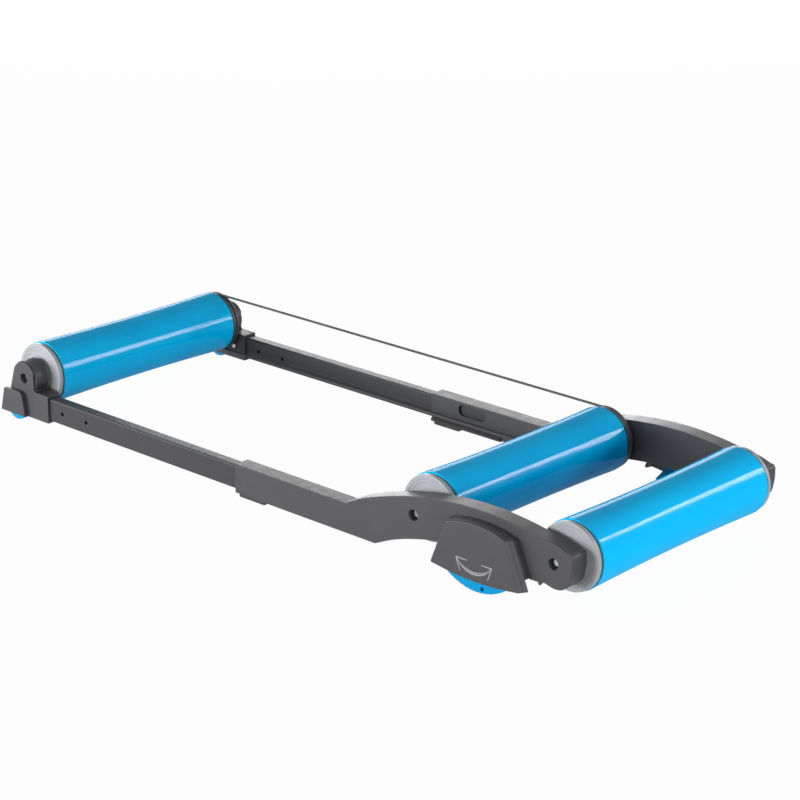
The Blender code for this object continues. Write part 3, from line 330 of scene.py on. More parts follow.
# Bracket screws and the belt's cord
BRACKET_SCREW = {"Head Radius": 0.0045, "Head Height": 0.0027, "Shank Radius": 0.002,
                 "Shank Length": 0.012, "Socket Width": 0.003, "Socket Depth": 0.0016, "Edge": 0.0008}
CORD_RADIUS = 0.002

# Stage: softboxes as setting, place, width and height, and the camera at the photograph's place
SOFTBOXES = (
    ("key", (-1.5, -2.8, 0.5), 3.2, 1.0),
    ("fill", (3.0, -0.8, 0.36), 4.0, 0.7),
    ("rim", (-3.4, 3.6, 0.75), 4.0, 1.5),
    ("streak", (2.163, 2.31, 1.08), 0.22, 0.85),
    ("top", (0.8, -2.2, 2.4), 2.5, 1.5),
)
LAMP_TARGET = (0.0, 0.0, 0.05)
WHITE = (1.0, 1.0, 1.0, 1.0)
PAPER_WHITE = 0.97
FLOOR_REACH = 30.0
FLOOR_Z = -0.0005
CAMERA_PLACE = (2.5552, -2.7341, 1.4412)
CAMERA_TURN = math.radians(43.973)
CAMERA_RISE = math.radians(19.384)
CAMERA_ROLL = math.radians(-0.123)
CAMERA_LENS = 111.52
CAMERA_SENSOR = 36.0
CAMERA_SIGHT = 200.0
PICTURE_SIZE = 800.0
PICTURE_CENTRE = (333.3, 395.7)


# Materials

def add_node(tree, kind, settings=None, inputs=None):
    """One node of a tree, with its settings, and its inputs as values or links."""
    node = tree.nodes.new(kind)
    for name, value in (settings or {}).items():
        setattr(node, name, value)
    for name, value in (inputs or {}).items():
        if isinstance(value, bpy.types.NodeSocket):
            tree.links.new(value, node.inputs[name])
        else:
            node.inputs[name].default_value = value
    return node


def mottled(tree, place, size_mm, low, high, detail=3.0):
    """A soft random value between low and high, in patches of about the given size."""
    noise = add_node(tree, "ShaderNodeTexNoise", None,
                     {"Vector": place, "Scale": 1000 / size_mm, "Detail": detail})
    spread = add_node(tree, "ShaderNodeMapRange", None,
                      {"Value": noise.outputs[0], "From Min": 0.3, "From Max": 0.7, "To Min": low,
                       "To Max": high})
    return spread.outputs[0]


def shaded(colour, factor):
    """A colour made lighter or darker by a factor."""
    return tuple(min(1.0, channel * factor) for channel in colour)


def blended(tree, share, first, second):
    """A colour between two, by a share."""
    mix = add_node(tree, "ShaderNodeMix", {"data_type": "RGBA"},
                   {0: share, 6: (*first, 1.0), 7: (*second, 1.0)})
    return mix.outputs[2]


def surface(name, shader_values, build):
    """A material whose colour, roughness and height come from build(tree, vector).

    build also gives the height's depth in millimetres and its strength.
    """
    material = bpy.data.materials.new(name)
    material.use_nodes = True
    tree = material.node_tree
    shader = tree.nodes["Principled BSDF"]
    for socket, value in shader_values.items():
        shader.inputs[socket].default_value = value
    coordinates = add_node(tree, "ShaderNodeTexCoord")
    place = add_node(tree, "ShaderNodeMapping", None, {"Vector": coordinates.outputs["Object"]})
    colour, roughness, height, depth_mm, strength = build(tree, place.outputs[0])
    tree.links.new(colour, shader.inputs["Base Color"])
    tree.links.new(roughness, shader.inputs["Roughness"])
    bump = add_node(tree, "ShaderNodeBump", None,
                    {"Height": height, "Distance": depth_mm / 1000, "Strength": strength})
    tree.links.new(bump.outputs[0], shader.inputs["Normal"])
    return material


def moulded(name, colour, gloss, grain_mm, depth_mm, specular=0.4):
    """Injection moulded plastic: a satin sheen with faint flow marks, over a spark-eroded grain.

    The grain is about 0.2 mm on the real pieces, and is drawn at about 1 mm so that it shows.
    """
    def build(tree, vector):
        tone = mottled(tree, vector, 55, 0.0, 1.0)
        hue = blended(tree, tone, shaded(colour, 0.93), shaded(colour, 1.07))
        sheen = mottled(tree, vector, 18, gloss - 0.035, gloss + 0.035)
        grain = mottled(tree, vector, grain_mm, 0.0, 1.0, 2.0)
        return hue, sheen, grain, depth_mm, 0.5
    return surface(name, {"IOR": 1.5, "Specular IOR Level": specular}, build)


def tube_blue(name, colour):
    """Extruded and polished ABS tube: a saturated blue under a clear gloss that shows the lamps.

    Hairlines run round the tube from its polishing, drawn at 0.9 mm so that they show.
    """
    def build(tree, vector):
        stretched = add_node(tree, "ShaderNodeMapping", None,
                             {"Vector": vector, "Scale": (0.02, 1.0, 0.02)})
        hairs = mottled(tree, stretched.outputs[0], 0.9, 0.0, 1.0, 4.0)
        cloud = mottled(tree, vector, 70, 0.0, 1.0)
        hue = blended(tree, cloud, shaded(colour, 0.95), shaded(colour, 1.05))
        fine = add_node(tree, "ShaderNodeMapRange", None,
                        {"Value": hairs, "To Min": 0.06, "To Max": 0.12})
        return hue, fine.outputs[0], hairs, 0.01, 0.12
    gloss = {"Specular IOR Level": 0.0, "Coat Weight": 0.15, "Coat Roughness": 0.08, "Coat IOR": 1.54}
    return surface(name, gloss, build)


def cut_blue_highlight(name, colour):
    """The tube's sawn and faced end: duller than its polished wall, and paler as a painted highlight along
    its rim.

    The tool's marks are under 0.5 mm, and are drawn at 1.2 mm so that they show.
    """
    def build(tree, vector):
        marks = mottled(tree, vector, 1.2, 0.0, 1.0)
        hue = blended(tree, marks, shaded(colour, 0.92), shaded(colour, 1.08))
        rough = mottled(tree, vector, 3.0, 0.42, 0.55)
        return hue, rough, marks, 0.02, 0.2
    return surface(name, {"IOR": 1.5}, build)


def enamelled(name, colour):
    """Powder coat on steel: a soft satin, broken up by the fine orange peel of the baked coat.

    The peel is about 1.5 mm across, as on the real rails.
    """
    def build(tree, vector):
        tone = mottled(tree, vector, 90, 0.0, 1.0)
        hue = blended(tree, tone, shaded(colour, 0.9), shaded(colour, 1.1))
        peel = mottled(tree, vector, 1.5, 0.0, 1.0, 1.0)
        rough = mottled(tree, vector, 6.0, 0.42, 0.5)
        return hue, rough, peel, 0.01, 0.2
    return surface(name, {"IOR": 1.5, "Specular IOR Level": 0.35}, build)


def rubbery(name, colour, roughness):
    """Moulded rubber: nearly black and matt, with a dusty bloom in patches.

    The mould's pebble is about 0.2 mm, and is drawn at 0.6 mm so that it shows.
    """
    def build(tree, vector):
        bloom = mottled(tree, vector, 9.0, 0.0, 1.0)
        hue = blended(tree, bloom, colour, shaded(colour, 1.5))
        rough = mottled(tree, vector, 4.0, roughness - 0.05, roughness + 0.08)
        pebble = mottled(tree, vector, 0.6, 0.0, 1.0, 2.0)
        return hue, rough, pebble, 0.03, 0.4
    return surface(name, {"IOR": 1.52}, build)


def zinc_plate(name, colour):
    """Bright zinc plate on turned steel: a bluish glint with a faint spangle and worn patches.

    The spangle is 1.6 mm across, and the scratches are drawn at 0.5 mm so that they show.
    """
    def build(tree, vector):
        cells = add_node(tree, "ShaderNodeTexVoronoi", None, {"Vector": vector, "Scale": 1000 / 1.6})
        spangle = add_node(tree, "ShaderNodeMapRange", None,
                           {"Value": cells.outputs["Distance"], "To Min": 0.2, "To Max": 0.36})
        patches = mottled(tree, vector, 5.0, 0.0, 1.0)
        hue = blended(tree, patches, shaded(colour, 0.86), colour)
        scratch = mottled(tree, vector, 0.5, 0.0, 1.0)
        return hue, spangle.outputs[0], scratch, 0.01, 0.2
    return surface(name, {"Metallic": 1.0}, build)


# Outlines and sections

def arc(u, v, radius, start, end, steps):
    """Points on an arc, angles in degrees from the first axis towards the second."""
    points = []
    for i in range(steps + 1):
        angle = math.radians(start + (end - start) * i / steps)
        points.append((u + radius * math.cos(angle), v + radius * math.sin(angle)))
    return points


def corner_ways(before, corner, after):
    """A corner, the ways back and ahead from it, and the angle that the line turns by there."""
    here = Vector(corner)
    back = Vector(before) - here
    ahead = Vector(after) - here
    return here, back, ahead, math.pi - back.angle(ahead)


def rounded_corner(before, corner, after, radius, steps, most=0.48):
    """Points of the arc that rounds a corner, over at most a share of each line that meets there."""
    here, back, ahead, turn = corner_ways(before, corner, after)
    reach = min(radius * math.tan(turn / 2), most * back.length, most * ahead.length)
    bend = reach / math.tan(turn / 2)
    inward = (back.normalized() + ahead.normalized()).normalized()
    centre = here + inward * math.hypot(reach, bend)
    arm = here + back.normalized() * reach - centre
    sign = 1 if back.cross(ahead) < 0 else -1
    points = []
    for k in range(steps + 1):
        angle = sign * turn * k / steps
        points.append((centre.x + arm.x * math.cos(angle) - arm.y * math.sin(angle),
                       centre.y + arm.x * math.sin(angle) + arm.y * math.cos(angle)))
    return points


def eased(outline, radius, steps=3):
    """An outline whose corners that turn by 30 degrees or more are rounded."""
    points = []
    for i, corner in enumerate(outline):
        before = outline[i - 1]
        after = outline[(i + 1) % len(outline)]
        here, _, _, turn = corner_ways(before, corner, after)
        if math.degrees(turn) < 30.0:
            points.append(tuple(here))
        else:
            points += rounded_corner(before, corner, after, radius, steps, 0.45)
    return points


def filleted(corners, steps=4):
    """A closed section whose corners (u, v, radius) are rounded, each by its own radius."""
    points = []
    for i, (u, v, radius) in enumerate(corners):
        if radius:
            before = corners[i - 1][:2]
            after = corners[(i + 1) % len(corners)][:2]
            points += rounded_corner(before, (u, v), after, radius, steps)
        else:
            points.append((u, v))
    return points


def ridge(span, level, height, slope):
    """Corners of a raised line, or with a negative height a sunk one, across a turned face."""
    start, end = span
    return [(start, level, 0.0), (start + slope, level + height, 0.0),
            (end - slope, level + height, 0.0), (end, level, 0.0)]


def drawn_in(outline, distance):
    """The outline moved inwards by a distance, corner by corner."""
    tiny = 1e-12
    longest_mitre = 0.35
    points = np.array(outline, float)
    before = np.roll(points, 1, axis=0)
    after = np.roll(points, -1, axis=0)
    area = float(np.sum(points[:, 0] * after[:, 1] - after[:, 0] * points[:, 1]))
    turn = 1.0 if area > 0 else -1.0
    edges = []
    for start, end in ((before, points), (points, after)):
        step = end - start
        step /= np.maximum(np.linalg.norm(step, axis=1, keepdims=True), tiny)
        edges.append(np.c_[-step[:, 1], step[:, 0]] * turn)
    inward = edges[0] + edges[1]
    inward /= np.maximum(np.linalg.norm(inward, axis=1, keepdims=True), tiny)
    grow = 1 / np.maximum(np.sum(inward * edges[0], axis=1), longest_mitre)
    return points + inward * (distance * grow)[:, None]


def flowing(knots, steps=10):
    """Points along a line whose smooth knots (u, v, True) are rounded and whose corners are kept."""
    least_step = 0.0002
    curve = bpy.data.curves.new("line", "CURVE")
    curve.dimensions = "3D"
    curve.resolution_u = steps
    spline = curve.splines.new("BEZIER")
    spline.bezier_points.add(len(knots) - 1)
    spline.use_cyclic_u = True
    for point, (u, v, smooth) in zip(spline.bezier_points, knots):
        point.co = (u, v, 0.0)
        point.handle_left_type = "AUTO" if smooth else "VECTOR"
        point.handle_right_type = "AUTO" if smooth else "VECTOR"
    holder = bpy.data.objects.new("line", curve)
    mesh = bpy.data.meshes.new_from_object(holder)
    points = [tuple(vertex.co[:2]) for vertex in mesh.vertices]
    bpy.data.objects.remove(holder)
    bpy.data.curves.remove(curve)
    bpy.data.meshes.remove(mesh)
    kept = [point for i, point in enumerate(points) if math.dist(point, points[i - 1]) > least_step]
    return straightened(kept)


def straightened(points):
    """The same outline without the needless points on its straight runs."""
    kept = []
    for i, point in enumerate(points):
        here = Vector(point)
        back = here - Vector(points[i - 1])
        ahead = Vector(points[(i + 1) % len(points)]) - here
        if back.angle(ahead) > math.radians(0.05):
            kept.append(point)
    return kept


# Meshes

def closed_mesh(name, vertices, faces):
    """A mesh with its doubled points merged and its faces turned outwards."""
    mesh = bpy.data.meshes.new(name)
    mesh.from_pydata([tuple(v) for v in vertices], [], faces)
    bm = bmesh.new()
    bm.from_mesh(mesh)
    bmesh.ops.remove_doubles(bm, verts=bm.verts, dist=WELD)
    bmesh.ops.recalc_face_normals(bm, faces=bm.faces)
    bm.to_mesh(mesh)
    bm.free()
    return mesh


def placed(loop, level, along):
    """Points of an outline, given in X-Z or Y-Z, set in the machine at a level."""
    if along == "Y":
        return [(u, level, v) for u, v in loop]
    return [(level, u, v) for u, v in loop]


def layered(name, layers, along="Y"):
    """A solid whose sides run through outlines (loop, level) of the same number of points."""
    vertices = []
    for loop, level in layers:
        vertices += placed(loop, level, along)
    count = len(layers[0][0])
    faces = [list(range(count)), [len(vertices) - count + i for i in range(count)]]
    for layer in range(len(layers) - 1):
        start = layer * count
        for i in range(count):
            j = (i + 1) % count
            faces.append([start + i, start + j, start + count + j, start + count + i])
    return closed_mesh(name, vertices, faces)


def rim(outline, level, radius, outwards, steps=3):
    """Layers that round the rim of a solid whose end lies at a level."""
    layers = []
    for i in range(steps + 1):
        angle = math.pi / 2 * i / steps
        layers.append((drawn_in(outline, radius * (1 - math.cos(angle))),
                       level - outwards * radius * (1 - math.sin(angle))))
    return layers


def slab(name, outline, low, high, low_round=0.0, high_round=0.0, along="Y"):
    """An outline stretched from low to high, with its two rims rounded."""
    way = 1 if high > low else -1
    low_layers = rim(outline, low, low_round, -way)[::-1] if low_round else [(outline, low)]
    high_layers = rim(outline, high, high_round, way) if high_round else [(outline, high)]
    return layered(name, low_layers + high_layers, along)


def turned(name, profile, place, side=1, steps=END_STEPS):
    """A closed or axis-to-axis profile of (radius, distance outward) turned about an axle line."""
    vertices = []
    for i in range(steps):
        angle = 2 * math.pi * i / steps
        for radius, out in profile:
            vertices.append((place[0] + radius * math.cos(angle), side * out,
                             place[1] + radius * math.sin(angle)))
    count = len(profile)
    open_ended = profile[0][0] == 0.0
    faces = []
    for i in range(steps):
        a = i * count
        b = ((i + 1) % steps) * count
        for j in range(count - (1 if open_ended else 0)):
            k = (j + 1) % count
            corners = [a + j, a + k, b + k, b + j]
            if profile[j][0] == 0.0:
                corners = [a + j, a + k, b + k]
            elif profile[k][0] == 0.0:
                corners = [a + j, a + k, b + j]
            faces.append(corners)
    return closed_mesh(name, vertices, faces)


def rod(name, radius, start, end, place, steps=24):
    """A plain rod or hole on the left side, across the machine."""
    return turned(name, [(0.0, start), (radius, start), (radius, end), (0.0, end)], place, -1, steps)


def box_mesh(name, x, y, z):
    """A plain block between the given ends."""
    outline = [(x[0], z[0]), (x[1], z[0]), (x[1], z[1]), (x[0], z[1])]
    return slab(name, outline, y[0], y[1])


def new_piece(name, mesh):
    """An object in the scene, at the origin."""
    obj = bpy.data.objects.new(name, mesh)
    bpy.context.scene.collection.objects.link(obj)
    return obj


def evaluated_mesh(obj):
    """The plain mesh that an object's modifiers make, after which the object is removed."""
    evaluated = obj.evaluated_get(bpy.context.evaluated_depsgraph_get())
    mesh = bpy.data.meshes.new_from_object(evaluated)
    bpy.data.objects.remove(obj)
    return mesh


def shaped(base, operation, tools):
    """The base mesh joined to, or cut by, all the tools in one step."""
    group = bpy.data.collections.new("tools")
    bpy.context.scene.collection.children.link(group)
    holder = new_piece(base.name, base)
    for tool in tools:
        group.objects.link(bpy.data.objects.new("tool", tool))
    modifier = holder.modifiers.new("shape", "BOOLEAN")
    modifier.operation = operation
    modifier.operand_type = "COLLECTION"
    modifier.collection = group
    modifier.solver = "EXACT"
    mesh = evaluated_mesh(holder)
    for tool in list(group.objects):
        bpy.data.objects.remove(tool)
    bpy.data.collections.remove(group)
    bm = bmesh.new()
    bm.from_mesh(mesh)
    bmesh.ops.remove_doubles(bm, verts=bm.verts, dist=CUT_WELD)
    bmesh.ops.dissolve_degenerate(bm, dist=CUT_WELD, edges=bm.edges)
    bm.to_mesh(mesh)
    bm.free()
    if not mesh.polygons:
        raise RuntimeError("nothing is left of " + base.name)
    return mesh


def mirrored(mesh):
    """The same mesh for the right side."""
    other = mesh.copy()
    bm = bmesh.new()
    bm.from_mesh(other)
    bm.transform(Matrix.Scale(-1, 4, (0, 1, 0)))
    bmesh.ops.reverse_faces(bm, faces=bm.faces)
    bm.to_mesh(other)
    bm.free()
    return other


def piece(name, mesh, body, replaced, materials, angle=32.0):
    """A finished piece: smooth where it is round, in its materials, on its body."""
    mesh.shade_smooth()
    mesh.set_sharp_from_angle(angle=math.radians(angle))
    mesh.materials.clear()
    for material in materials:
        mesh.materials.append(material)
    holder = new_piece(name, mesh)
    weight = holder.modifiers.new("normals", "WEIGHTED_NORMAL")
    weight.keep_sharp = True
    weight.weight = 50
    obj = new_piece(name, evaluated_mesh(holder))
    if body:
        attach(obj, body)
    if replaced:
        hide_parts(*replaced)
    return obj


def side_pieces(name, mesh, body, finish):
    """The left piece and its mirror image, each for the CAD node of its side.

    "{side}" in the body's name stands for left or right.
    """
    for label, side in SIDES:
        own = mesh if side < 0 else mirrored(mesh)
        node = label + "_" + name
        piece("dressed_" + node, own, body.format(side=label), [node], [finish])


def refinish(nodes, material):
    """A better material for CAD nodes whose shape is kept."""
    for node in nodes:
        mesh = FRAME["nodes"][node].data
        mesh.materials.clear()
        mesh.materials.append(material)


# Geometry trees

def tree_input(tree, name, kind, value, low=None):
    """A named input of a geometry tree with its default."""
    socket = tree.interface.new_socket(name=name, in_out="INPUT", socket_type=kind)
    socket.default_value = value
    if low is not None:
        socket.min_value = low


def new_geometry_tree(name):
    """An empty tree that takes a geometry and gives one."""
    tree = bpy.data.node_groups.new(name, "GeometryNodeTree")
    tree.interface.new_socket(name="Geometry", in_out="INPUT", socket_type="NodeSocketGeometry")
    tree.interface.new_socket(name="Geometry", in_out="OUTPUT", socket_type="NodeSocketGeometry")
    return tree


def close_tree(tree, geometry, material):
    """Realise the instances, give them their material and send them out."""
    real = add_node(tree, "GeometryNodeRealizeInstances", None, {0: geometry})
    painted = add_node(tree, "GeometryNodeSetMaterial", None,
                       {"Geometry": real.outputs[0], "Material": material})
    add_node(tree, "NodeGroupOutput", None, {0: painted.outputs[0]})


def grown(base, tree, values):
    """The plain mesh that a geometry tree makes on a base mesh with the given inputs."""
    holder = new_piece("grown", base)
    modifier = holder.modifiers.new("grow", "NODES")
    modifier.node_group = tree
    for item in tree.interface.items_tree:
        if item.item_type == "SOCKET" and item.in_out == "INPUT" and item.name in values:
            modifier[item.identifier] = values[item.name]
    mesh = evaluated_mesh(holder)
    if not mesh.polygons:
        raise RuntimeError("the tree " + tree.name + " made nothing")
    return mesh


# Settings

COLOUR = {"subtype": "COLOR", "size": 3, "min": 0.0, "max": 1.0}


class ROLLERS_PG_drums(bpy.types.PropertyGroup):
    """Sizes and colours of the drums."""
    blue: FloatVectorProperty(name="Drum blue", description="Colour of the drum tubes",
                              default=linear("00bfff"), **COLOUR)
    # The faced ends' colour: dull as a faced end, and pale and grey as a painted highlight along the tube's
    # rim
    cut_edge_highlight: FloatVectorProperty(name="Cut edge", description="Colour of the tubes' sawn ends",
                                  default=linear("56899f"), **COLOUR)
    cap_grey: FloatVectorProperty(name="Cap grey", description="Colour of the plain end caps",
                                  default=linear("9a9da1"), **COLOUR)
    # Painted shade: the grooved caps are drawn darker than the plain caps
    pulley_shade_grey: FloatVectorProperty(name="Pulley grey", description="Colour of the grooved caps",
                                     default=linear("4a4c50"), **COLOUR)
    edge_round: FloatProperty(name="Edge rounding", description="Rounding of the tubes' ends",
                              subtype="DISTANCE", default=0.0007, min=0.0001, max=0.0015)
    steps: IntProperty(name="Steps", description="Faces round a drum", default=128, min=48, max=256)


class ROLLERS_PG_sides(bpy.types.PropertyGroup):
    """Sizes and colours of the side members."""
    charcoal: FloatVectorProperty(name="Charcoal", description="Colour of arms, brackets and covers",
                                  default=linear("343437"), **COLOUR)
    enamel: FloatVectorProperty(name="Enamel", description="Colour of the inner rails",
                                default=linear("29292c"), **COLOUR)
    edge_round: FloatProperty(name="Edge rounding", description="Rounding of the moulded edges",
                              subtype="DISTANCE", default=0.0009, min=0.0002, max=0.002)


class ROLLERS_PG_feet(bpy.types.PropertyGroup):
    """Sizes and colours of the feet and their covers."""
    cover_round: FloatProperty(name="Cover rounding", description="Rounding of the covers' faces",
                               subtype="DISTANCE", default=0.0013, min=0.0004, max=0.003)
    groove: FloatProperty(name="Skirt groove", description="Depth of the line round a cover's skirt",
                          subtype="DISTANCE", default=0.0006, min=0.0, max=0.0015)
    blue: FloatVectorProperty(name="Foot blue", description="Colour of the rockers and wheels",
                              default=linear("008abc"), **COLOUR)
    arrow: FloatVectorProperty(name="Arrow grey", description="Colour of the printed swing arrow",
                               default=linear("929295"), **COLOUR)


class ROLLERS_PG_fixings(bpy.types.PropertyGroup):
    """Sizes and colours of screws, springs and the belt."""
    head_radius: FloatProperty(name="Head radius", description="Radius of an axle screw's head",
                               subtype="DISTANCE", default=0.0055, min=0.003, max=0.007)
    socket_width: FloatProperty(name="Socket width", description="Width across the hex socket",
                                subtype="DISTANCE", default=0.005, min=0.002, max=0.007)
    spring_turns: IntProperty(name="Spring turns", description="Turns of a lever spring",
                              default=3, min=1, max=6)
    zinc: FloatVectorProperty(name="Zinc", description="Colour of the zinc plate",
                              default=linear("cfd2d6"), **COLOUR)
    belt: FloatVectorProperty(name="Belt", description="Colour of the drive belt",
                              default=linear("2b2b2d"), **COLOUR)
    # Painted shade: the black seal rings stand for the shaded gap between a tube and its cap; the bearings'
    # rubber shields share this colour
    seal: FloatVectorProperty(name="Seal", description="Colour of the seal rings",
                              default=linear("1c1c1e"), **COLOUR)
    lever: FloatVectorProperty(name="Lever", description="Colour of the levers and end stops",
                               default=linear("1f1f21"), **COLOUR)


class ROLLERS_PG_stage(bpy.types.PropertyGroup):
    """Backdrop and lamps."""
    backdrop: FloatVectorProperty(name="Backdrop", description="Colour of the floor",
                                  default=linear("d4d4d4"), **COLOUR)
    key: FloatProperty(name="Key", description="Brightness of the front left softbox, white is 1",
                       default=14.0, min=0.0)
    fill: FloatProperty(name="Fill", description="Brightness of the right softbox, white is 1",
                        default=7.0, min=0.0)
    rim: FloatProperty(name="Rim", description="Brightness of the back left softbox, white is 1",
                       default=8.0, min=0.0)
    streak: FloatProperty(name="Streak", description="Brightness of the back right softbox",
                          default=38.0, min=0.0)
    top: FloatProperty(name="Top", description="Brightness of the softbox above the camera",
                       default=1.5, min=0.0)
    room: FloatProperty(name="Room light", description="Level of the light from all round",
                        default=0.06, min=0.0, max=1.0)


class ROLLERS_PG_settings(bpy.types.PropertyGroup):
    """All the settings of the rollers."""
    drums: PointerProperty(type=ROLLERS_PG_drums)
    sides: PointerProperty(type=ROLLERS_PG_sides)
    feet: PointerProperty(type=ROLLERS_PG_feet)
    fixings: PointerProperty(type=ROLLERS_PG_fixings)
    stage: PointerProperty(type=ROLLERS_PG_stage)


def finish_of(name):
    """A finish of the rollers, made once from the settings."""
    known = bpy.data.materials.get(name)
    if known:
        return known
    settings = bpy.context.scene.rollers
    drums, sides, feet, fixings = settings.drums, settings.sides, settings.feet, settings.fixings
    makers = {
        # Mirrors the softboxes as long streaks
        "polished_blue_abs": lambda: tube_blue(name, tuple(drums.blue)),
        # A dull ring at each end of the polished wall, made pale as a painted highlight along the tube's rim
        "faced_blue_abs": lambda: cut_blue_highlight(name, tuple(drums.cut_edge_highlight)),
        # A plain, soft blue that shows hardly any gloss
        "moulded_blue_abs": lambda: moulded(name, tuple(feet.blue), 0.42, 0.9, 0.02, specular=0.1),
        # Pale and smooth, so that the steps of the caps' faces read
        "moulded_grey_nylon": lambda: moulded(name, tuple(drums.cap_grey), 0.42, 1.1, 0.03),
        # Painted shade: darker than the plain caps, so that the belt's groove reads as a deep, shaded line
        "moulded_pulley_nylon": lambda: moulded(name, tuple(drums.pulley_shade_grey), 0.45, 1.1, 0.03),
        # An even dark grey that catches light along its edges
        "textured_charcoal_nylon": lambda: moulded(name, tuple(sides.charcoal), 0.47, 1.0, 0.03),
        # Nearly black, with a soft and broken sheen along the rail
        "powder_coated_steel": lambda: enamelled(name, tuple(sides.enamel)),
        # Painted shade: a black ring that stands for the shaded gap between a tube and its cap, and the
        # bearings' black rubber shields
        "black_seal_rubber": lambda: rubbery(name, tuple(fixings.seal), 0.55),
        # Black and dull, so that a lever's tab lies in shade under the sleeve
        "black_moulded_nylon": lambda: moulded(name, tuple(fixings.lever), 0.5, 1.0, 0.04),
        # A matt black cord with hardly a highlight
        "belt_rubber_cord": lambda: rubbery(name, tuple(fixings.belt), 0.6),
        # Small bright glints in the screws' recesses
        "bright_zinc_plate": lambda: zinc_plate(name, tuple(fixings.zinc)),
        # A thin matt film on the charcoal's grain
        "pad_printed_grey_ink": lambda: moulded(name, tuple(feet.arrow), 0.5, 0.8, 0.01),
    }
    return makers[name]()


# Drums

def shell_profile(edge):
    """Section of the drum tube: waisted outside, with a seat for the cap at each end."""
    rings = 36
    reach = DRUM_HALF - edge
    outside = []
    for i in range(rings + 1):
        out = reach * (1 - 2 * i / rings)
        swell = (DRUM_END_RADIUS - DRUM_WAIST_RADIUS) * (out / DRUM_HALF) ** 2
        outside.append((DRUM_WAIST_RADIUS + swell, out))
    low_end = []
    for degrees in (30, 60, 90):
        angle = math.radians(degrees)
        low_end.append((DRUM_END_RADIUS - edge + edge * math.cos(angle), -reach - edge * math.sin(angle)))
    low_end += [(CAP_SEAT + CLEARANCE, -DRUM_HALF), (CAP_SEAT, -DRUM_HALF + CLEARANCE),
                (CAP_SEAT, -DRUM_HALF + SEAT_DEPTH), (DRUM_BORE, -DRUM_HALF + SEAT_DEPTH)]
    high_end = [(radius, -out) for radius, out in low_end[::-1]]
    return outside + low_end + high_end


class ROLLERS_OT_drum_shells(bpy.types.Operator):
    """Turn the three blue drum tubes"""
    bl_idname = "rollers.drum_shells"
    bl_label = "Drum tubes"

    def execute(self, context):
        settings = context.scene.rollers.drums
        materials = [finish_of("polished_blue_abs"), finish_of("faced_blue_abs")]
        end_face = DRUM_HALF - HAIR
        for label in DRUMS:
            mesh = turned(label + "_tube", shell_profile(settings.edge_round),
                          (AXLE_X[label], AXLE_Z), 1, settings.steps)
            # The flat end rings take the pale faced-end finish, partly a painted highlight along the rim
            for face in mesh.polygons:
                if abs(face.center.y) > end_face:
                    face.material_index = 1
            piece("dressed_" + label + "_drum_shell", mesh, DRUM_BODY[label],
                  [label + "_drum_shell"], materials)
        return {"FINISHED"}


def cap_profile(grooved):
    """Section of an end cap: rim, stepped face, hub round the bearing and a spigot in the tube.

    A corner is its radius, its distance outward and its rounding.
    """
    neck = CAP_SEAT - CLEARANCE
    face = CAP_FACE - FACE_DEPTH
    seat = BEARING_RADIUS + CLEARANCE
    hub = seat + HUB_WALL
    floor = CAP_FACE - BEARING_WIDTH - CLEARANCE
    spigot_end = DRUM_HALF - SEAT_DEPTH + CLEARANCE
    rim_start = FACE_STEP[1] + FACE_STEP_SLOPE
    outline = [(hub, HUB_FACE, 0.0006), (hub, face, 0.0012)]
    outline += ridge(FACE_LINE, face, FACE_LINE_HEIGHT, FACE_LINE_HEIGHT)
    outline += [(FACE_STEP[0], face, 0.0006), (FACE_STEP[0] + FACE_STEP_SLOPE, face + FACE_STEP_HEIGHT, 0.0),
                (FACE_STEP[1], face + FACE_STEP_HEIGHT, 0.0005)]
    if grooved:
        start = CAP_START + FLANGE
        end = start + GROOVE_WIDTH
        out = end + FLANGE
        outline += [(rim_start, out, 0.0005), (CAP_RADIUS, out, 0.0008), (CAP_RADIUS, end, 0.0004),
                    (GROOVE_RADIUS, end, 0.0018), (GROOVE_RADIUS, start, 0.0018),
                    (CAP_RADIUS, start, 0.0004)]
    else:
        outline.append((rim_start, CAP_FACE, 0.0004))
        outline += ridge(RIM_LINE, CAP_FACE, -RIM_LINE_DEPTH, RIM_LINE_SLOPE)
        outline.append((CAP_RADIUS, CAP_FACE, 0.0016))
    outline += [(CAP_RADIUS, CAP_START, 0.0003), (neck, CAP_START, 0.0), (neck, spigot_end, 0.0004),
                (neck - CAP_SPIGOT, spigot_end, 0.0), (neck - CAP_SPIGOT, face - CAP_WEB, 0.0),
                (hub, face - CAP_WEB, 0.0), (hub, floor - HUB_WALL, 0.0),
                (seat - HUB_WALL, floor - HUB_WALL, 0.0), (seat - HUB_WALL, floor, 0.0),
                (seat, floor, 0.0), (seat, HUB_FACE, 0.0004)]
    return filleted(outline)


def bearing_profile():
    """Section of a ball bearing: two rings with a sunk rubber shield on both sides."""
    inner = CAP_FACE - BEARING_WIDTH
    low, high = SHIELD
    return filleted([
        (BEARING_RADIUS, CAP_FACE, 0.0005), (BEARING_RADIUS, inner, 0.0005), (high, inner, 0.0),
        (high, inner + SHIELD_DEPTH, 0.0), (low, inner + SHIELD_DEPTH, 0.0), (low, inner, 0.0),
        (AXLE_HOLE, inner, 0.0003), (AXLE_HOLE, CAP_FACE, 0.0003), (low, CAP_FACE, 0.0),
        (low, CAP_FACE - SHIELD_DEPTH, 0.0), (high, CAP_FACE - SHIELD_DEPTH, 0.0),
        (high, CAP_FACE, 0.0),
    ])


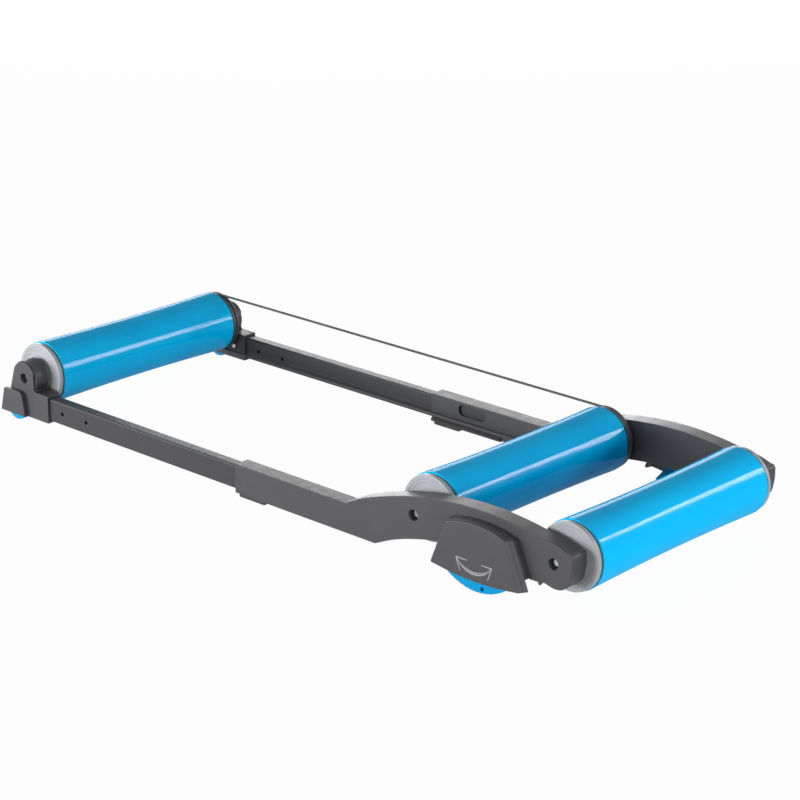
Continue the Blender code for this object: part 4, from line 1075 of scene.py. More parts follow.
class ROLLERS_OT_drum_ends(bpy.types.Operator):
    """Turn the end caps, seal rings and ball bearings of the drums"""
    bl_idname = "rollers.drum_ends"
    bl_label = "Drum ends"

    def execute(self, context):
        # The black seal rubber is painted shade on the seal rings in the gap between tube and cap, and the
        # real black of the bearings' shields
        rubber = finish_of("black_seal_rubber")
        ring = filleted([
            (SEAL_RADIUS, SEAL_END, 0.0006), (SEAL_RADIUS, SEAL_START, 0.0006),
            (CAP_SEAT, SEAL_START, 0.0), (CAP_SEAT, SEAL_END, 0.0),
        ])
        for label in DRUMS:
            place = (AXLE_X[label], AXLE_Z)
            body = DRUM_BODY[label]
            for side_label, side in SIDES:
                grooved = side == 1 and label != "rear"
                name = label + "_" + side_label
                # The grooved caps on the far side take the darker grey, which is painted shade
                finish = finish_of("moulded_pulley_nylon" if grooved else "moulded_grey_nylon")
                cap = turned(name, cap_profile(grooved), place, side)
                piece("dressed_" + name + "_end_cap", cap, body, [name + "_end_cap"], [finish])
                # The black seal ring is painted shade in the gap between tube and cap
                piece("dressed_" + name + "_seal_ring", turned(name, ring, place, side), body,
                      [name + "_seal_ring"], [rubber])
                bearing = turned(name, bearing_profile(), place, side, BEARING_STEPS)
                for face in bearing.polygons:
                    reach = math.hypot(face.center.x - place[0], face.center.z - place[1])
                    if SHIELD[0] < reach < SHIELD[1]:
                        face.material_index = 1
                piece("dressed_" + name + "_bearing", bearing, body, [name + "_bearing"],
                      [finish_of("bright_zinc_plate"), rubber])
        return {"FINISHED"}


# Rear arms

def knots_from(x, z, points, smooth=True):
    """Knots of a flowing line at distances along and up from a place."""
    return [(x + along, z + up, smooth) for along, up in points]


def crown(inset):
    """Top line of the arm from its tail to its neck, drawn in by the inset."""
    z = AXLE_Z - inset
    knots = knots_from(TAIL_X - inset, z, [CROWN_AT_TAIL])
    knots += knots_from(AXLE_X["rear"], z, CROWN_AT_REAR)
    knots.append((FOOT_X, z + CROWN_OVER_FOOT, True))
    knots += knots_from(AXLE_X["middle"], z, CROWN_AT_MIDDLE)
    knots.append((NECK_X, SLEEVE_TOP - inset, False))
    return knots


def tail(inset):
    """End of the arm round the rear axle, from its underside up."""
    end = TAIL_X - inset
    low = AXLE_Z + inset
    knots = knots_from(AXLE_X["rear"], low, [TAIL_STEP], False)
    knots += knots_from(AXLE_X["rear"], low, [TAIL_LOW])
    knots += knots_from(end, low, [TAIL_HEEL])
    return knots + knots_from(end, AXLE_Z, TAIL_AT_END)


def arm_line():
    """Outline of the arm's side: sleeve, arch over the foot and tail."""
    knots = [(MOUTH_X, SLEEVE_BOTTOM, False), (HEEL_X, SLEEVE_BOTTOM, False)]
    knots += knots_from(AXLE_X["middle"], AXLE_Z, ARCH_AT_MIDDLE)
    knots.append((FOOT_X, AXLE_Z - ARCH_OVER_FOOT, True))
    knots += knots_from(AXLE_X["rear"], AXLE_Z, [ARCH_AT_REAR])
    knots += knots_from(AXLE_X["rear"], AXLE_Z, STEP_AT_REAR, False)
    return knots + tail(0.0) + crown(0.0) + [(MOUTH_X, SLEEVE_TOP, False)]


def arm_hollow_line():
    """Outline of the hollow in the arm: the rail's passage, open to below behind the neck."""
    channel = RAIL_Z - RAIL_HEIGHT / 2 - CLEARANCE
    mouth = MOUTH_X - OVERRUN
    end = TAIL_X - HOLLOW_END
    knots = [(mouth, channel, False), (NECK_X, channel, False), (NECK_X, -OVERRUN, False),
             (end, -OVERRUN, False), (end, AXLE_Z - HOLLOW_END_TOP, False)]
    return knots + crown(WALL) + [(mouth, SLEEVE_TOP - WALL, False)]


def cover_line(inset=0.0, foot=COVER_FOOT, flare=0.0, bow=COVER_BOW):
    """Outline of the rear foot cover: a wedge with bowed top and foot, wider by the flare."""
    slope = (COVER_FOOT_HALF - COVER_TOP_HALF) / (COVER_SHOULDER + COVER_FOOT)
    spread = 1 + flare / COVER_FOOT_HALF
    top = (COVER_TOP_HALF - inset) * spread
    base = (COVER_FOOT_HALF - inset + slope * (foot - COVER_FOOT)) * spread
    shoulder = AXLE_Z - inset + COVER_SHOULDER
    crest = AXLE_Z - inset + COVER_CROWN
    low = AXLE_Z - foot
    return [
        (COVER_X - base, low, False),
        (COVER_X - base / 3, low - bow, True),
        (COVER_X + base / 3, low - bow, True),
        (COVER_X + base, low, False),
        (COVER_X + top, shoulder, False),
        (COVER_X + top / 2, crest, True),
        (COVER_X - top / 2, crest, True),
        (COVER_X - top, shoulder, False),
    ]


def boss(radius, outer, inner, place, steps):
    """A boss with a slim nose to the bearing and a fillet at its root."""
    points = [(0.0, outer), (radius, outer), (radius, inner)]
    for degrees in (0, 30, 60, 90):
        angle = math.radians(degrees)
        points.append((NOSE_RADIUS + BOSS_FILLET * (1 - math.sin(angle)),
                       inner - BOSS_FILLET * (1 - math.cos(angle))))
    points += [(NOSE_RADIUS, NOSE_FACE + CLEARANCE), (NOSE_RADIUS - CLEARANCE, NOSE_FACE),
               (0.0, NOSE_FACE)]
    return turned("boss", points, place, -1, steps)


def axle_seat(x):
    """Screw recess with a chamfered mouth, screw hole and axle seat in one stepped tool."""
    floor = SIDE_OUTER - RECESS_DEPTH
    seat = floor - SCREW_GRIP
    outside = SIDE_OUTER + RECESS_REACH
    profile = [
        (0.0, outside), (RECESS_MOUTH, outside), (RECESS_MOUTH, SIDE_OUTER),
        (RECESS_RADIUS, SIDE_OUTER - RECESS_CHAMFER), (RECESS_RADIUS, floor), (SCREW_HOLE, floor),
        (SCREW_HOLE, seat), (AXLE_HOLE, seat), (AXLE_HOLE, NOSE_FACE - OVERRUN),
        (0.0, NOSE_FACE - OVERRUN),
    ]
    return turned("seat", profile, (x, AXLE_Z), -1, 48)


def arm_additions():
    """What stands out of the arm's plain bar: foot housing, rear pad, pin boss and axle bosses."""
    inner_joint = SIDE_INNER + WALL / 2
    outer_joint = SPACE_OUTER + WALL / 2
    housing_line = eased(flowing(cover_line(0.0, HOUSING_FOOT, HOUSING_FLARE, 0.0)), 0.002)
    housing = slab("housing", housing_line, -SPACE_OUTER, -HOUSING_TOP, 0.0, 0.0004)
    pad_line = [(PAD_X, AXLE_Z - PAD_LOW, False)] + tail(CLEARANCE)
    pad_line += [knot for knot in crown(CLEARANCE) if knot[0] > PAD_X]
    pad_line.append((PAD_X, AXLE_Z + PAD_HIGH, False))
    pad = slab("pad", eased(flowing(pad_line), 0.002), -inner_joint, -(NOSE_FACE + PAD_GAP), 0.0,
               PAD_ROUND)
    pin_boss = rod("pin_boss", PIN_BOSS, SPACE_OUTER - PIN_BOSS_START, SPACE_OUTER + 3 * CLEARANCE,
                   (FOOT_X, PIN_Z))
    bosses = [boss(ARM_BOSS, outer_joint, inner_joint, (AXLE_X[label], AXLE_Z), 48)
              for label in ("middle", "rear")]
    return [housing, pad, pin_boss] + bosses


def lever_openings():
    """What the release lever needs in the sleeve: window, lip's recess and hinge hole."""
    mouth = MOUTH_X - OVERRUN
    below = SLEEVE_BOTTOM - OVERRUN
    lever_top = RAIL_Z - RAIL_HEIGHT / 2 - CLEARANCE
    window = box_mesh("window", (mouth, HINGE_X + WINDOW_END), (-SPACE_OUTER, -SPACE_INNER),
                      (below, lever_top + OVERRUN))
    lip = box_mesh("lip", (mouth, HINGE_X - LIP_END), (-SPACE_INNER - OVERRUN, -SIDE_INNER + OVERRUN),
                   (below, SLEEVE_BOTTOM + LIP_HEIGHT + CLEARANCE))
    hinge = rod("hinge", HINGE_HOLE, SIDE_INNER - OVERRUN, SIDE_OUTER - HINGE_WALL, (HINGE_X, LEVER_Z), 16)
    return [window, lip, hinge]


def rear_arm_mesh(edge):
    """The left rear arm: sleeve, arch, housing of the foot, pad and bosses in one moulding."""
    outline = eased(flowing(arm_line()), 0.0012)
    arm = slab("arm", outline, -SIDE_INNER, -SIDE_OUTER, edge, edge)
    hollow = slab("hollow", flowing(arm_hollow_line()), -SPACE_INNER, -SPACE_OUTER)
    arm = shaped(arm, "DIFFERENCE", [hollow])
    arm = shaped(arm, "UNION", arm_additions())
    chamber_line = cover_line(COVER_WALL, COVER_FOOT + OVERRUN, HOUSING_FLARE)
    chamber = slab("chamber", flowing(chamber_line), -(SIDE_OUTER - CHAMBER_FLOOR),
                   -(HOUSING_TOP + OVERRUN))
    pin_hole = rod("pin_hole", PIN_HOLE, SPACE_OUTER - PIN_DEPTH, SIDE_OUTER, (FOOT_X, PIN_Z))
    slot_z = RAIL_Z + (RAIL_HEIGHT - 2 * SLOT_RADIUS) / 2 - CLEARANCE
    slot_line = arc(SLOT_X + SLOT_HALF, slot_z, SLOT_RADIUS, -90, 90, 12)
    slot_line += arc(SLOT_X - SLOT_HALF, slot_z, SLOT_RADIUS, 90, 270, 12)
    slot = slab("slot", slot_line, -SIDE_INNER + OVERRUN, -SPACE_INNER - OVERRUN)
    seats = [axle_seat(AXLE_X["middle"]), axle_seat(AXLE_X["rear"])]
    return shaped(arm, "DIFFERENCE", [chamber, pin_hole] + lever_openings() + [slot] + seats)


class ROLLERS_OT_rear_arms(bpy.types.Operator):
    """Mould the two rear arms"""
    bl_idname = "rollers.rear_arms"
    bl_label = "Rear arms"

    def execute(self, context):
        mesh = rear_arm_mesh(context.scene.rollers.sides.edge_round)
        side_pieces("rear_arm", mesh, "rear_frame", finish_of("textured_charcoal_nylon"))
        return {"FINISHED"}


# Rails

def rail_section(width, height, radius, steps=5):
    """A rectangle with rounded corners across the left rail."""
    points = []
    for turn, (sy, sz) in enumerate(((1, 1), (-1, 1), (-1, -1), (1, -1))):
        points += arc(-RAIL_Y + sy * (width / 2 - radius), RAIL_Z + sz * (height / 2 - radius), radius,
                      90 * turn, 90 * turn + 90, steps)
    return points


def rail_mesh():
    """Rectangular steel tube with rounded corners, two press holes and a fixing hole."""
    low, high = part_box("left_inner_rail")
    body = slab("rail", rail_section(RAIL_WIDTH, RAIL_HEIGHT, RAIL_CORNER), low.x, high.x,
                0.0003, 0.0003, "X")
    bore_line = rail_section(RAIL_WIDTH - 2 * RAIL_WALL, RAIL_HEIGHT - 2 * RAIL_WALL, BORE_CORNER)
    holes = [slab("bore", bore_line, low.x - OVERRUN, high.x + OVERRUN, along="X")]
    outer = RAIL_Y + RAIL_WIDTH / 2
    inner = RAIL_Y - RAIL_WIDTH / 2 - OVERRUN
    for x in PRESS_HOLES:
        sink = [(0.0, outer + OVERRUN), (PRESS_HOLE_MOUTH, outer + OVERRUN), (PRESS_HOLE_MOUTH, outer),
                (PRESS_HOLE_RADIUS, outer - PRESS_HOLE_CHAMFER), (PRESS_HOLE_RADIUS, inner), (0.0, inner)]
        holes.append(turned("hole", sink, (x, RAIL_Z), -1, 24))
    holes.append(rod("fixing", FIXING_HOLE, inner, RAIL_Y, (FIXING_X, RAIL_Z)))
    return shaped(body, "DIFFERENCE", holes)


def end_stop_mesh():
    """Moulded stop: a flange on the rail's end and a tapered plug in it."""
    low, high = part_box("left_rail_end_stop")
    flange = slab("stop", rail_section(RAIL_WIDTH, RAIL_HEIGHT, RAIL_CORNER), high.x - STOP_FLANGE,
                  high.x, 0.0002, 0.0006, "X")
    fit = 2 * (RAIL_WALL + CLEARANCE)
    plug = slab("plug", rail_section(RAIL_WIDTH - fit, RAIL_HEIGHT - fit, BORE_CORNER), low.x,
                high.x - STOP_SKIN, 0.0008, 0.0, "X")
    return shaped(flange, "UNION", [plug])


class ROLLERS_OT_rails(bpy.types.Operator):
    """Make the two inner rails and their end stops"""
    bl_idname = "rollers.rails"
    bl_label = "Inner rails"

    def execute(self, context):
        side_pieces("inner_rail", rail_mesh(), "front_frame",
                    finish_of("powder_coated_steel"))
        side_pieces("rail_end_stop", end_stop_mesh(), "front_frame",
                    finish_of("black_moulded_nylon"))
        return {"FINISHED"}


# Front brackets

def bracket_front(step):
    """Front edge of the bracket from its toe up to the ear."""
    x = AXLE_X["front"] + step
    toe = (x - BRACKET_TOE, SLEEVE_BOTTOM + step)
    return [toe] + [(x + along, AXLE_Z + up - step) for along, up in BRACKET_FRONT]


def bracket_line():
    """Outline of the bracket's outer plate: socket, ear round the axle and sloping front."""
    x = AXLE_X["front"]
    ear_start = math.degrees(math.acos(EAR_SIDE / EAR_RADIUS))
    points = [(x + BRACKET_REACH, SLEEVE_TOP)]
    points += arc(x + EAR_SIDE + EAR_FILLET, SLEEVE_TOP + EAR_FILLET, EAR_FILLET, 270, 180, 5)
    points += arc(x, AXLE_Z, EAR_RADIUS, ear_start, EAR_END, 24)
    return points + bracket_front(0.0)[::-1] + [(x + BRACKET_REACH, SLEEVE_BOTTOM)]


def bracket_mesh(edge):
    """The left front bracket: socket of the rail, ear of the drum's axle and pocket of the wheel."""
    x = AXLE_X["front"]
    inner_plate = SIDE_OUTER - PLATE
    plate = slab("plate", eased(bracket_line(), 0.0010), -inner_plate, -SIDE_OUTER, 0.0, edge)
    socket = x + BRACKET_REACH - CLEARANCE
    ear = x + EAR_SIDE - CLEARANCE
    top = SLEEVE_TOP - CLEARANCE
    block_line = bracket_front(CLEARANCE) + [
        (x - EAR_RADIUS + 2 * CLEARANCE, AXLE_Z), (ear, AXLE_Z), (ear, top), (socket, top),
        (socket, SLEEVE_BOTTOM + CLEARANCE)]
    block = slab("block", eased(block_line, 0.0010), -SIDE_INNER, -(SIDE_OUTER - PLATE / 2), edge, 0.0)
    axle_boss = boss(BRACKET_BOSS, inner_plate + CLEARANCE, SIDE_INNER - CLEARANCE, (x, AXLE_Z),
                     END_STEPS)
    bracket = shaped(plate, "UNION", [block, axle_boss])
    half = RAIL_HEIGHT / 2 + CLEARANCE
    channel = box_mesh("channel", (x + CHANNEL_START, x + BRACKET_REACH + OVERRUN),
                       (-SPACE_OUTER, -SPACE_INNER), (RAIL_Z - half, RAIL_Z + half))
    place = (WHEEL_X, WHEEL_RADIUS)
    pocket = rod("pocket", WHEEL_RADIUS + POCKET_GAP, POCKET_FLOOR, SIDE_OUTER + OVERRUN, place,
                 END_STEPS)
    pin = rod("pin", PIN_HOLE, SIDE_INNER + PIN_WALL, POCKET_FLOOR + OVERRUN, place)
    fixing = rod("fixing", FIXING_HOLE, SIDE_INNER - OVERRUN, RAIL_Y, (FIXING_X, RAIL_Z))
    return shaped(bracket, "DIFFERENCE", [channel, pocket, pin, fixing, axle_seat(x)])


class ROLLERS_OT_front_brackets(bpy.types.Operator):
    """Mould the two front brackets"""
    bl_idname = "rollers.front_brackets"
    bl_label = "Front brackets"

    def execute(self, context):
        mesh = bracket_mesh(context.scene.rollers.sides.edge_round)
        side_pieces("front_bracket", mesh, "front_frame",
                    finish_of("textured_charcoal_nylon"))
        return {"FINISHED"}


# Foot covers

def front_cover_line(inset=0.0):
    """Outline of the front foot cover: straight in front, with a rounded shoulder behind."""
    x = AXLE_X["front"]
    low = AXLE_Z - FRONT_COVER_LOW + inset
    high = AXLE_Z - FRONT_COVER_HIGH - inset
    front, rear = FRONT_COVER_FOOT
    foot = [(x + front + inset, low, False), (x + rear - inset, low, False)]
    shoulder = [(x + along - inset, high + up, True) for along, up in FRONT_COVER_SHOULDER]
    return foot + shoulder + [(x + FRONT_COVER_TOP + inset, high, False)]


def front_cover_mesh(edge):
    """The left front foot cover: a rounded shell over the wheel with a boss for its pin."""
    outline = eased(flowing(front_cover_line()), 0.0016)
    shell = slab("cover", outline, -FRONT_COVER_BASE, -FRONT_COVER_FACE, 0.0003, edge)
    floor = FRONT_COVER_FACE - FRONT_COVER_WALL
    inside = FRONT_COVER_BASE - OVERRUN
    hollow = slab("hollow", flowing(front_cover_line(FRONT_COVER_WALL)), -inside, -floor)
    place = (WHEEL_X, WHEEL_RADIUS)
    shell = shaped(shell, "DIFFERENCE", [hollow])
    pin_boss = rod("boss", FRONT_COVER_BOSS, FRONT_COVER_BASE, floor + FRONT_COVER_WALL / 2, place)
    shell = shaped(shell, "UNION", [pin_boss])
    return shaped(shell, "DIFFERENCE", [rod("hole", PIN_HOLE, inside, floor, place)])


def rear_cover_layers(edge, groove):
    """Outlines of the rear cover from its base to its face, with a line round the skirt."""
    def layer(level, inset):
        """The outline at a level, drawn in by the inset and less flared towards the face."""
        share = (COVER_FACE - level) / (COVER_FACE - COVER_BASE)
        loop = eased(flowing(cover_line(flare=COVER_FLARE * share), 8), 0.0022)
        return drawn_in(loop, inset), -level

    middle = (COVER_BASE + COVER_FACE) / 2
    layers = [layer(COVER_BASE, 0.0003), layer(COVER_BASE + 0.0003, 0.0)]
    layers += [layer(middle + out, groove * depth) for out, depth in SKIRT_LINE]
    steps = 5
    for i in range(steps + 1):
        angle = math.pi / 2 * i / steps
        layers.append(layer(COVER_FACE - edge * (1 - math.sin(angle)), edge * (1 - math.cos(angle))))
    return layers


def rear_cover_mesh(edge, groove):
    """The left rear foot cover: a flared shell with the eye of the rocker's pin inside."""
    shell = layered("cover", rear_cover_layers(edge, groove))
    floor = COVER_FACE - COVER_WALL
    hollow = []
    for level, flare in ((COVER_BASE - OVERRUN, COVER_FLARE), (floor, COVER_INNER_FLARE)):
        hollow.append((flowing(cover_line(COVER_WALL, COVER_FOOT + OVERRUN, flare), 8), -level))
    shell = shaped(shell, "DIFFERENCE", [layered("hollow", hollow)])
    place = (FOOT_X, PIN_Z)
    pin_boss = rod("boss", COVER_BOSS, ROCKER_HIGH + CLEARANCE, floor + COVER_WALL / 2, place)
    shell = shaped(shell, "UNION", [pin_boss])
    return shaped(shell, "DIFFERENCE", [rod("hole", PIN_HOLE, ROCKER_HIGH - OVERRUN, floor, place)])


def bar(start, end, width, taper):
    """A straight stroke from start to end as an outline, narrower at its end by the taper."""
    across = Vector((start.y - end.y, end.x - start.x)).normalized() * width / 2
    return [tuple(start - across), tuple(end - across * taper), tuple(end + across * taper),
            tuple(start + across)]


def arrow_mesh():
    """The printed swing arrow: a crescent of two strokes with an open head at each tip."""
    left, right = (Vector((COVER_X + along, up)) for along, up in ARROW_TIPS)
    middle = (left + right) / 2
    half = (right - left).length / 2
    loops = []
    for edges in ARROW_STROKES:
        sides = []
        for level in edges:
            sag = middle.y - level
            radius = (half * half + sag * sag) / (2 * sag)
            angle = math.degrees(math.asin(half / radius))
            sides.append(arc(middle.x, level + radius, radius, 270 - angle, 270 + angle, 32))
        loops.append(sides[0] + sides[1][::-1][1:-1])
    for tip, barbs in zip((left, right), ARROW_BARBS):
        for along, up in barbs:
            loops.append(bar(tip, Vector((COVER_X + along, up)), BARB_WIDTH, BARB_TAPER))
    slabs = [slab("ink", loop, -(COVER_FACE - 0.0001), -(COVER_FACE + INK_THICKNESS)) for loop in loops]
    return shaped(slabs[0], "UNION", slabs[1:])


class ROLLERS_OT_foot_covers(bpy.types.Operator):
    """Mould the four foot covers and print the arrow on the rear ones"""
    bl_idname = "rollers.foot_covers"
    bl_label = "Foot covers"

    def execute(self, context):
        settings = context.scene.rollers.feet
        charcoal = finish_of("textured_charcoal_nylon")
        side_pieces("front_foot_cover", front_cover_mesh(settings.cover_round), "front_frame",
                    charcoal)
        side_pieces("rear_foot_cover", rear_cover_mesh(settings.cover_round, settings.groove),
                    "rear_frame", charcoal)
        mesh = arrow_mesh()
        for label, side in SIDES:
            own = mesh if side < 0 else mirrored(mesh)
            piece(label + "_swing_arrow", own, "rear_frame", [],
                  [finish_of("pad_printed_grey_ink")])
        return {"FINISHED"}


# Feet

def rocker_mesh():
    """The left rear foot: a smooth rocker with an eye for its pin and grip lines on its sole."""
    outline = []
    for degrees in range(-SOLE_HALF_ANGLE, SOLE_HALF_ANGLE + 1):
        grip = degrees % GRIP_PITCH == GRIP_PITCH / 2 and 4 < abs(degrees) < 30
        reach = SOLE_RADIUS - (GRIP_DEPTH if grip else 0.0)
        angle = math.radians(270 + degrees)
        outline.append((FOOT_X + reach * math.cos(angle), SOLE_RADIUS + reach * math.sin(angle)))
    outline += arc(FOOT_X, PIN_Z, EYE_RADIUS, -35, 215, 28)
    body = slab("rocker", outline, -ROCKER_LOW, -ROCKER_HIGH, 0.0006, 0.0006)
    outside = ROCKER_HIGH + OVERRUN
    hole = rod("hole", PIN_HOLE, ROCKER_LOW - OVERRUN, outside, (FOOT_X, PIN_Z))
    mark = rod("mark", MARK_RADIUS, ROCKER_LOW + MARK_FLOOR, outside, (FOOT_X + MARK[0], MARK[1]), 32)
    return shaped(body, "DIFFERENCE", [hole, mark])


def wheel_profile():
    """Section of the front foot: a tread with two grooves and a bore for its pin."""
    inner = POCKET_FLOOR + WHEEL_GAP
    outer = inner + WHEEL_WIDTH
    corners = [(PIN_HOLE, inner, 0.0003), (WHEEL_RADIUS, inner, WHEEL_ROUND)]
    groove = WHEEL_RADIUS - TREAD_GROOVE
    for share in (1, 2):
        middle = inner + share * WHEEL_WIDTH / 3
        corners += [(WHEEL_RADIUS, middle - TREAD_GROOVE, 0.0), (groove, middle - TREAD_FLOOR, 0.0),
                    (groove, middle + TREAD_FLOOR, 0.0), (WHEEL_RADIUS, middle + TREAD_GROOVE, 0.0)]
    return filleted(corners + [(WHEEL_RADIUS, outer, WHEEL_ROUND), (PIN_HOLE, outer, 0.0003)])


class ROLLERS_OT_feet(bpy.types.Operator):
    """Make the blue rocker feet and foot wheels"""
    bl_idname = "rollers.feet"
    bl_label = "Feet"

    def execute(self, context):
        blue = finish_of("moulded_blue_abs")
        side_pieces("rear_foot_rocker", rocker_mesh(), "{side}_rocker", blue)
        wheel = turned("wheel", wheel_profile(), (WHEEL_X, WHEEL_RADIUS), -1)
        side_pieces("front_foot_wheel", wheel, "{side}_wheel", blue)
        return {"FINISHED"}


# Levers

def lever_mesh():
    """The left release lever: flap, lip, knuckle on its pin and a finger tab below."""
    low = SLEEVE_BOTTOM
    top = RAIL_Z - RAIL_HEIGHT / 2 - 2 * CLEARANCE
    outer = SPACE_OUTER - CLEARANCE
    lip = SPACE_INNER - CLEARANCE
    lip_top = low + LIP_HEIGHT
    section = [(-outer, low), (-outer, top), (-lip, top), (-lip, lip_top), (-SIDE_INNER, lip_top),
               (-LEVER_INNER, lip_top - LIP_SLOPE), (-LEVER_INNER, low)]
    flap = slab("flap", eased(section, 0.0003, 2), MOUTH_X + LEVER_END, HINGE_X - LIP_END - CLEARANCE,
                0.0003, 0.0003, "X")
    knuckle = box_mesh("knuckle", (HINGE_X + KNUCKLE[0], HINGE_X + KNUCKLE[1]),
                       (-outer, -(SPACE_INNER + CLEARANCE)), (low, top))
    end = TAB_X + TAB_LENGTH
    tab_line = [(TAB_X, low - CLEARANCE), (TAB_X + TAB_SLOPE, low - TAB_DROP),
                (end - TAB_SLOPE, low - TAB_DROP), (end, low - CLEARANCE)]
    tab = slab("tab", eased(tab_line, 0.0012), -(LEVER_INNER + TAB_INSET), -(SIDE_OUTER - TAB_INSET),
               0.0006, 0.0006)
    root = box_mesh("root", (TAB_X + TAB_INSET, end - TAB_INSET),
                    (-(SPACE_OUTER - 2 * CLEARANCE), -(LEVER_INNER + ROOT_INSET)),
                    (low - TAB_ROOT_DROP, (low + top) / 2))
    ridges = []
    for i in range(RIDGES):
        x = TAB_X + RIDGE_START + RIDGE_PITCH * i
        ridges.append(slab("ridge", arc(x, low - RIDGE_DROP, RIDGE_RADIUS, 180, 360, 6),
                           -(LEVER_INNER + RIDGE_INSET), -(SIDE_OUTER - RIDGE_INSET)))
    lever = shaped(flap, "UNION", [knuckle, root, tab] + ridges)
    notch = box_mesh("notch", (HINGE_X - LIP_END, HINGE_X + OVERRUN),
                     (-RAIL_Y - SPRING_GAP / 2, -RAIL_Y + SPRING_GAP / 2), (low - OVERRUN, top + OVERRUN))
    hole = rod("hole", HINGE_HOLE, SPACE_INNER - OVERRUN, SPACE_OUTER + OVERRUN, (HINGE_X, LEVER_Z), 16)
    return shaped(lever, "DIFFERENCE", [notch, hole])


def spring_tree(material):
    """A coil of round wire about each point, wound across the machine."""
    tree = new_geometry_tree("lever_spring")
    sizes = (("Turns", 3.0), ("Coil Radius", 0.0016), ("Wire Radius", 0.0003), ("Length", 0.0033))
    for name, value in sizes:
        tree_input(tree, name, "NodeSocketFloat", value)
    given = add_node(tree, "NodeGroupInput")
    coil = add_node(tree, "GeometryNodeCurveSpiral", None,
                    {"Resolution": 24, "Rotations": given.outputs["Turns"],
                     "Start Radius": given.outputs["Coil Radius"],
                     "End Radius": given.outputs["Coil Radius"], "Height": given.outputs["Length"]})
    wire = add_node(tree, "GeometryNodeCurvePrimitiveCircle", None,
                    {"Resolution": 8, "Radius": given.outputs["Wire Radius"]})
    tube = add_node(tree, "GeometryNodeCurveToMesh", None,
                    {"Curve": coil.outputs[0], "Profile Curve": wire.outputs[0], "Fill Caps": True})
    half = add_node(tree, "ShaderNodeMath", {"operation": "MULTIPLY"},
                    {0: given.outputs["Length"], 1: -0.5})
    shift = add_node(tree, "ShaderNodeCombineXYZ", None, {"Z": half.outputs[0]})
    centred = add_node(tree, "GeometryNodeTransform", None,
                       {"Geometry": tube.outputs[0], "Translation": shift.outputs[0]})
    across = add_node(tree, "GeometryNodeTransform", None,
                      {"Geometry": centred.outputs[0], "Rotation": (math.pi / 2, 0.0, 0.0)})
    coils = add_node(tree, "GeometryNodeInstanceOnPoints", None,
                     {"Points": given.outputs["Geometry"], "Instance": across.outputs[0]})
    close_tree(tree, coils.outputs[0], material)
    return tree


class ROLLERS_OT_levers(bpy.types.Operator):
    """Make the release levers and wind their springs"""
    bl_idname = "rollers.levers"
    bl_label = "Release levers"

    def execute(self, context):
        turns = float(context.scene.rollers.fixings.spring_turns)
        side_pieces("release_lever", lever_mesh(), "{side}_lever",
                    finish_of("black_moulded_nylon"))
        zinc = finish_of("bright_zinc_plate")
        tree = spring_tree(zinc)
        for label, side in SIDES:
            base = bpy.data.meshes.new("spring_place")
            base.from_pydata([(HINGE_X, side * RAIL_Y, LEVER_Z)], [], [])
            piece("dressed_" + label + "_lever_spring", grown(base, tree, {"Turns": turns}),
                  "rear_frame", [label + "_lever_spring"], [zinc], 60.0)
        return {"FINISHED"}


# Fasteners

def screw_tree(material):
    """A socket head screw at each point, with its head towards the point's own direction."""
    tree = new_geometry_tree("socket_head_screw")
    sizes = (("Head Radius", 0.0055), ("Head Height", 0.004), ("Shank Radius", 0.003),
             ("Shank Length", 0.0175), ("Socket Width", 0.005), ("Socket Depth", 0.0024),
             ("Edge", 0.0006))
    for name, value in sizes:
        tree_input(tree, name, "NodeSocketFloat", value, 0.0)
    given = add_node(tree, "NodeGroupInput")
    radius, height, shank_radius, shank_length, width, depth, edge = (
        given.outputs[name] for name, _ in sizes)

    def reckon(operation, first, second):
        return add_node(tree, "ShaderNodeMath", {"operation": operation}, {0: first, 1: second}).outputs[0]

    def column(sides, top_radius, low_radius, height, base):
        drum = add_node(tree, "GeometryNodeMeshCone", None,
                        {"Vertices": sides, "Radius Top": top_radius, "Radius Bottom": low_radius,
                         "Depth": height})
        lift = add_node(tree, "ShaderNodeCombineXYZ", None, {"Z": base})
        moved = add_node(tree, "GeometryNodeTransform", None,
                         {"Geometry": drum.outputs[0], "Translation": lift.outputs[0]})
        return moved.outputs[0]

    # The shank starts a hair inside the head, and a hexagon's corners are 1/sqrt(3) of its width out
    straight = reckon("SUBTRACT", height, edge)
    head = column(48, radius, radius, straight, 0.0)
    bevel = column(48, reckon("SUBTRACT", radius, edge), radius, edge, straight)
    shank = column(24, shank_radius, shank_radius, shank_length,
                   reckon("MULTIPLY", shank_length, -0.999))
    solid = add_node(tree, "GeometryNodeMeshBoolean", {"operation": "UNION"})
    for part in (head, bevel, shank):
        tree.links.new(part, solid.inputs["Mesh 2"])
    hex_radius = reckon("MULTIPLY", width, 0.57735)
    socket = column(6, hex_radius, hex_radius, height, reckon("SUBTRACT", height, depth))
    screw = add_node(tree, "GeometryNodeMeshBoolean", {"operation": "DIFFERENCE"},
                     {"Mesh 1": solid.outputs[0]})
    tree.links.new(socket, screw.inputs["Mesh 2"])
    facing = add_node(tree, "GeometryNodeInputNamedAttribute", {"data_type": "FLOAT_VECTOR"},
                      {"Name": "facing"})
    turn = add_node(tree, "FunctionNodeAlignRotationToVector", {"axis": "Z"},
                    {"Vector": facing.outputs[0]})
    screws = add_node(tree, "GeometryNodeInstanceOnPoints", None,
                      {"Points": given.outputs["Geometry"], "Instance": screw.outputs[0],
                       "Rotation": turn.outputs[0]})
    close_tree(tree, screws.outputs[0], material)
    return tree


def screw_places(places):
    """Points (x, y, z, side that the head looks to) as the base of a screw tree."""
    base = bpy.data.meshes.new("screw_places")
    base.from_pydata([place[:3] for place in places], [], [])
    facing = base.attributes.new("facing", "FLOAT_VECTOR", "POINT")
    for i, place in enumerate(places):
        facing.data[i].vector = (0.0, place[3], 0.0)
    return base


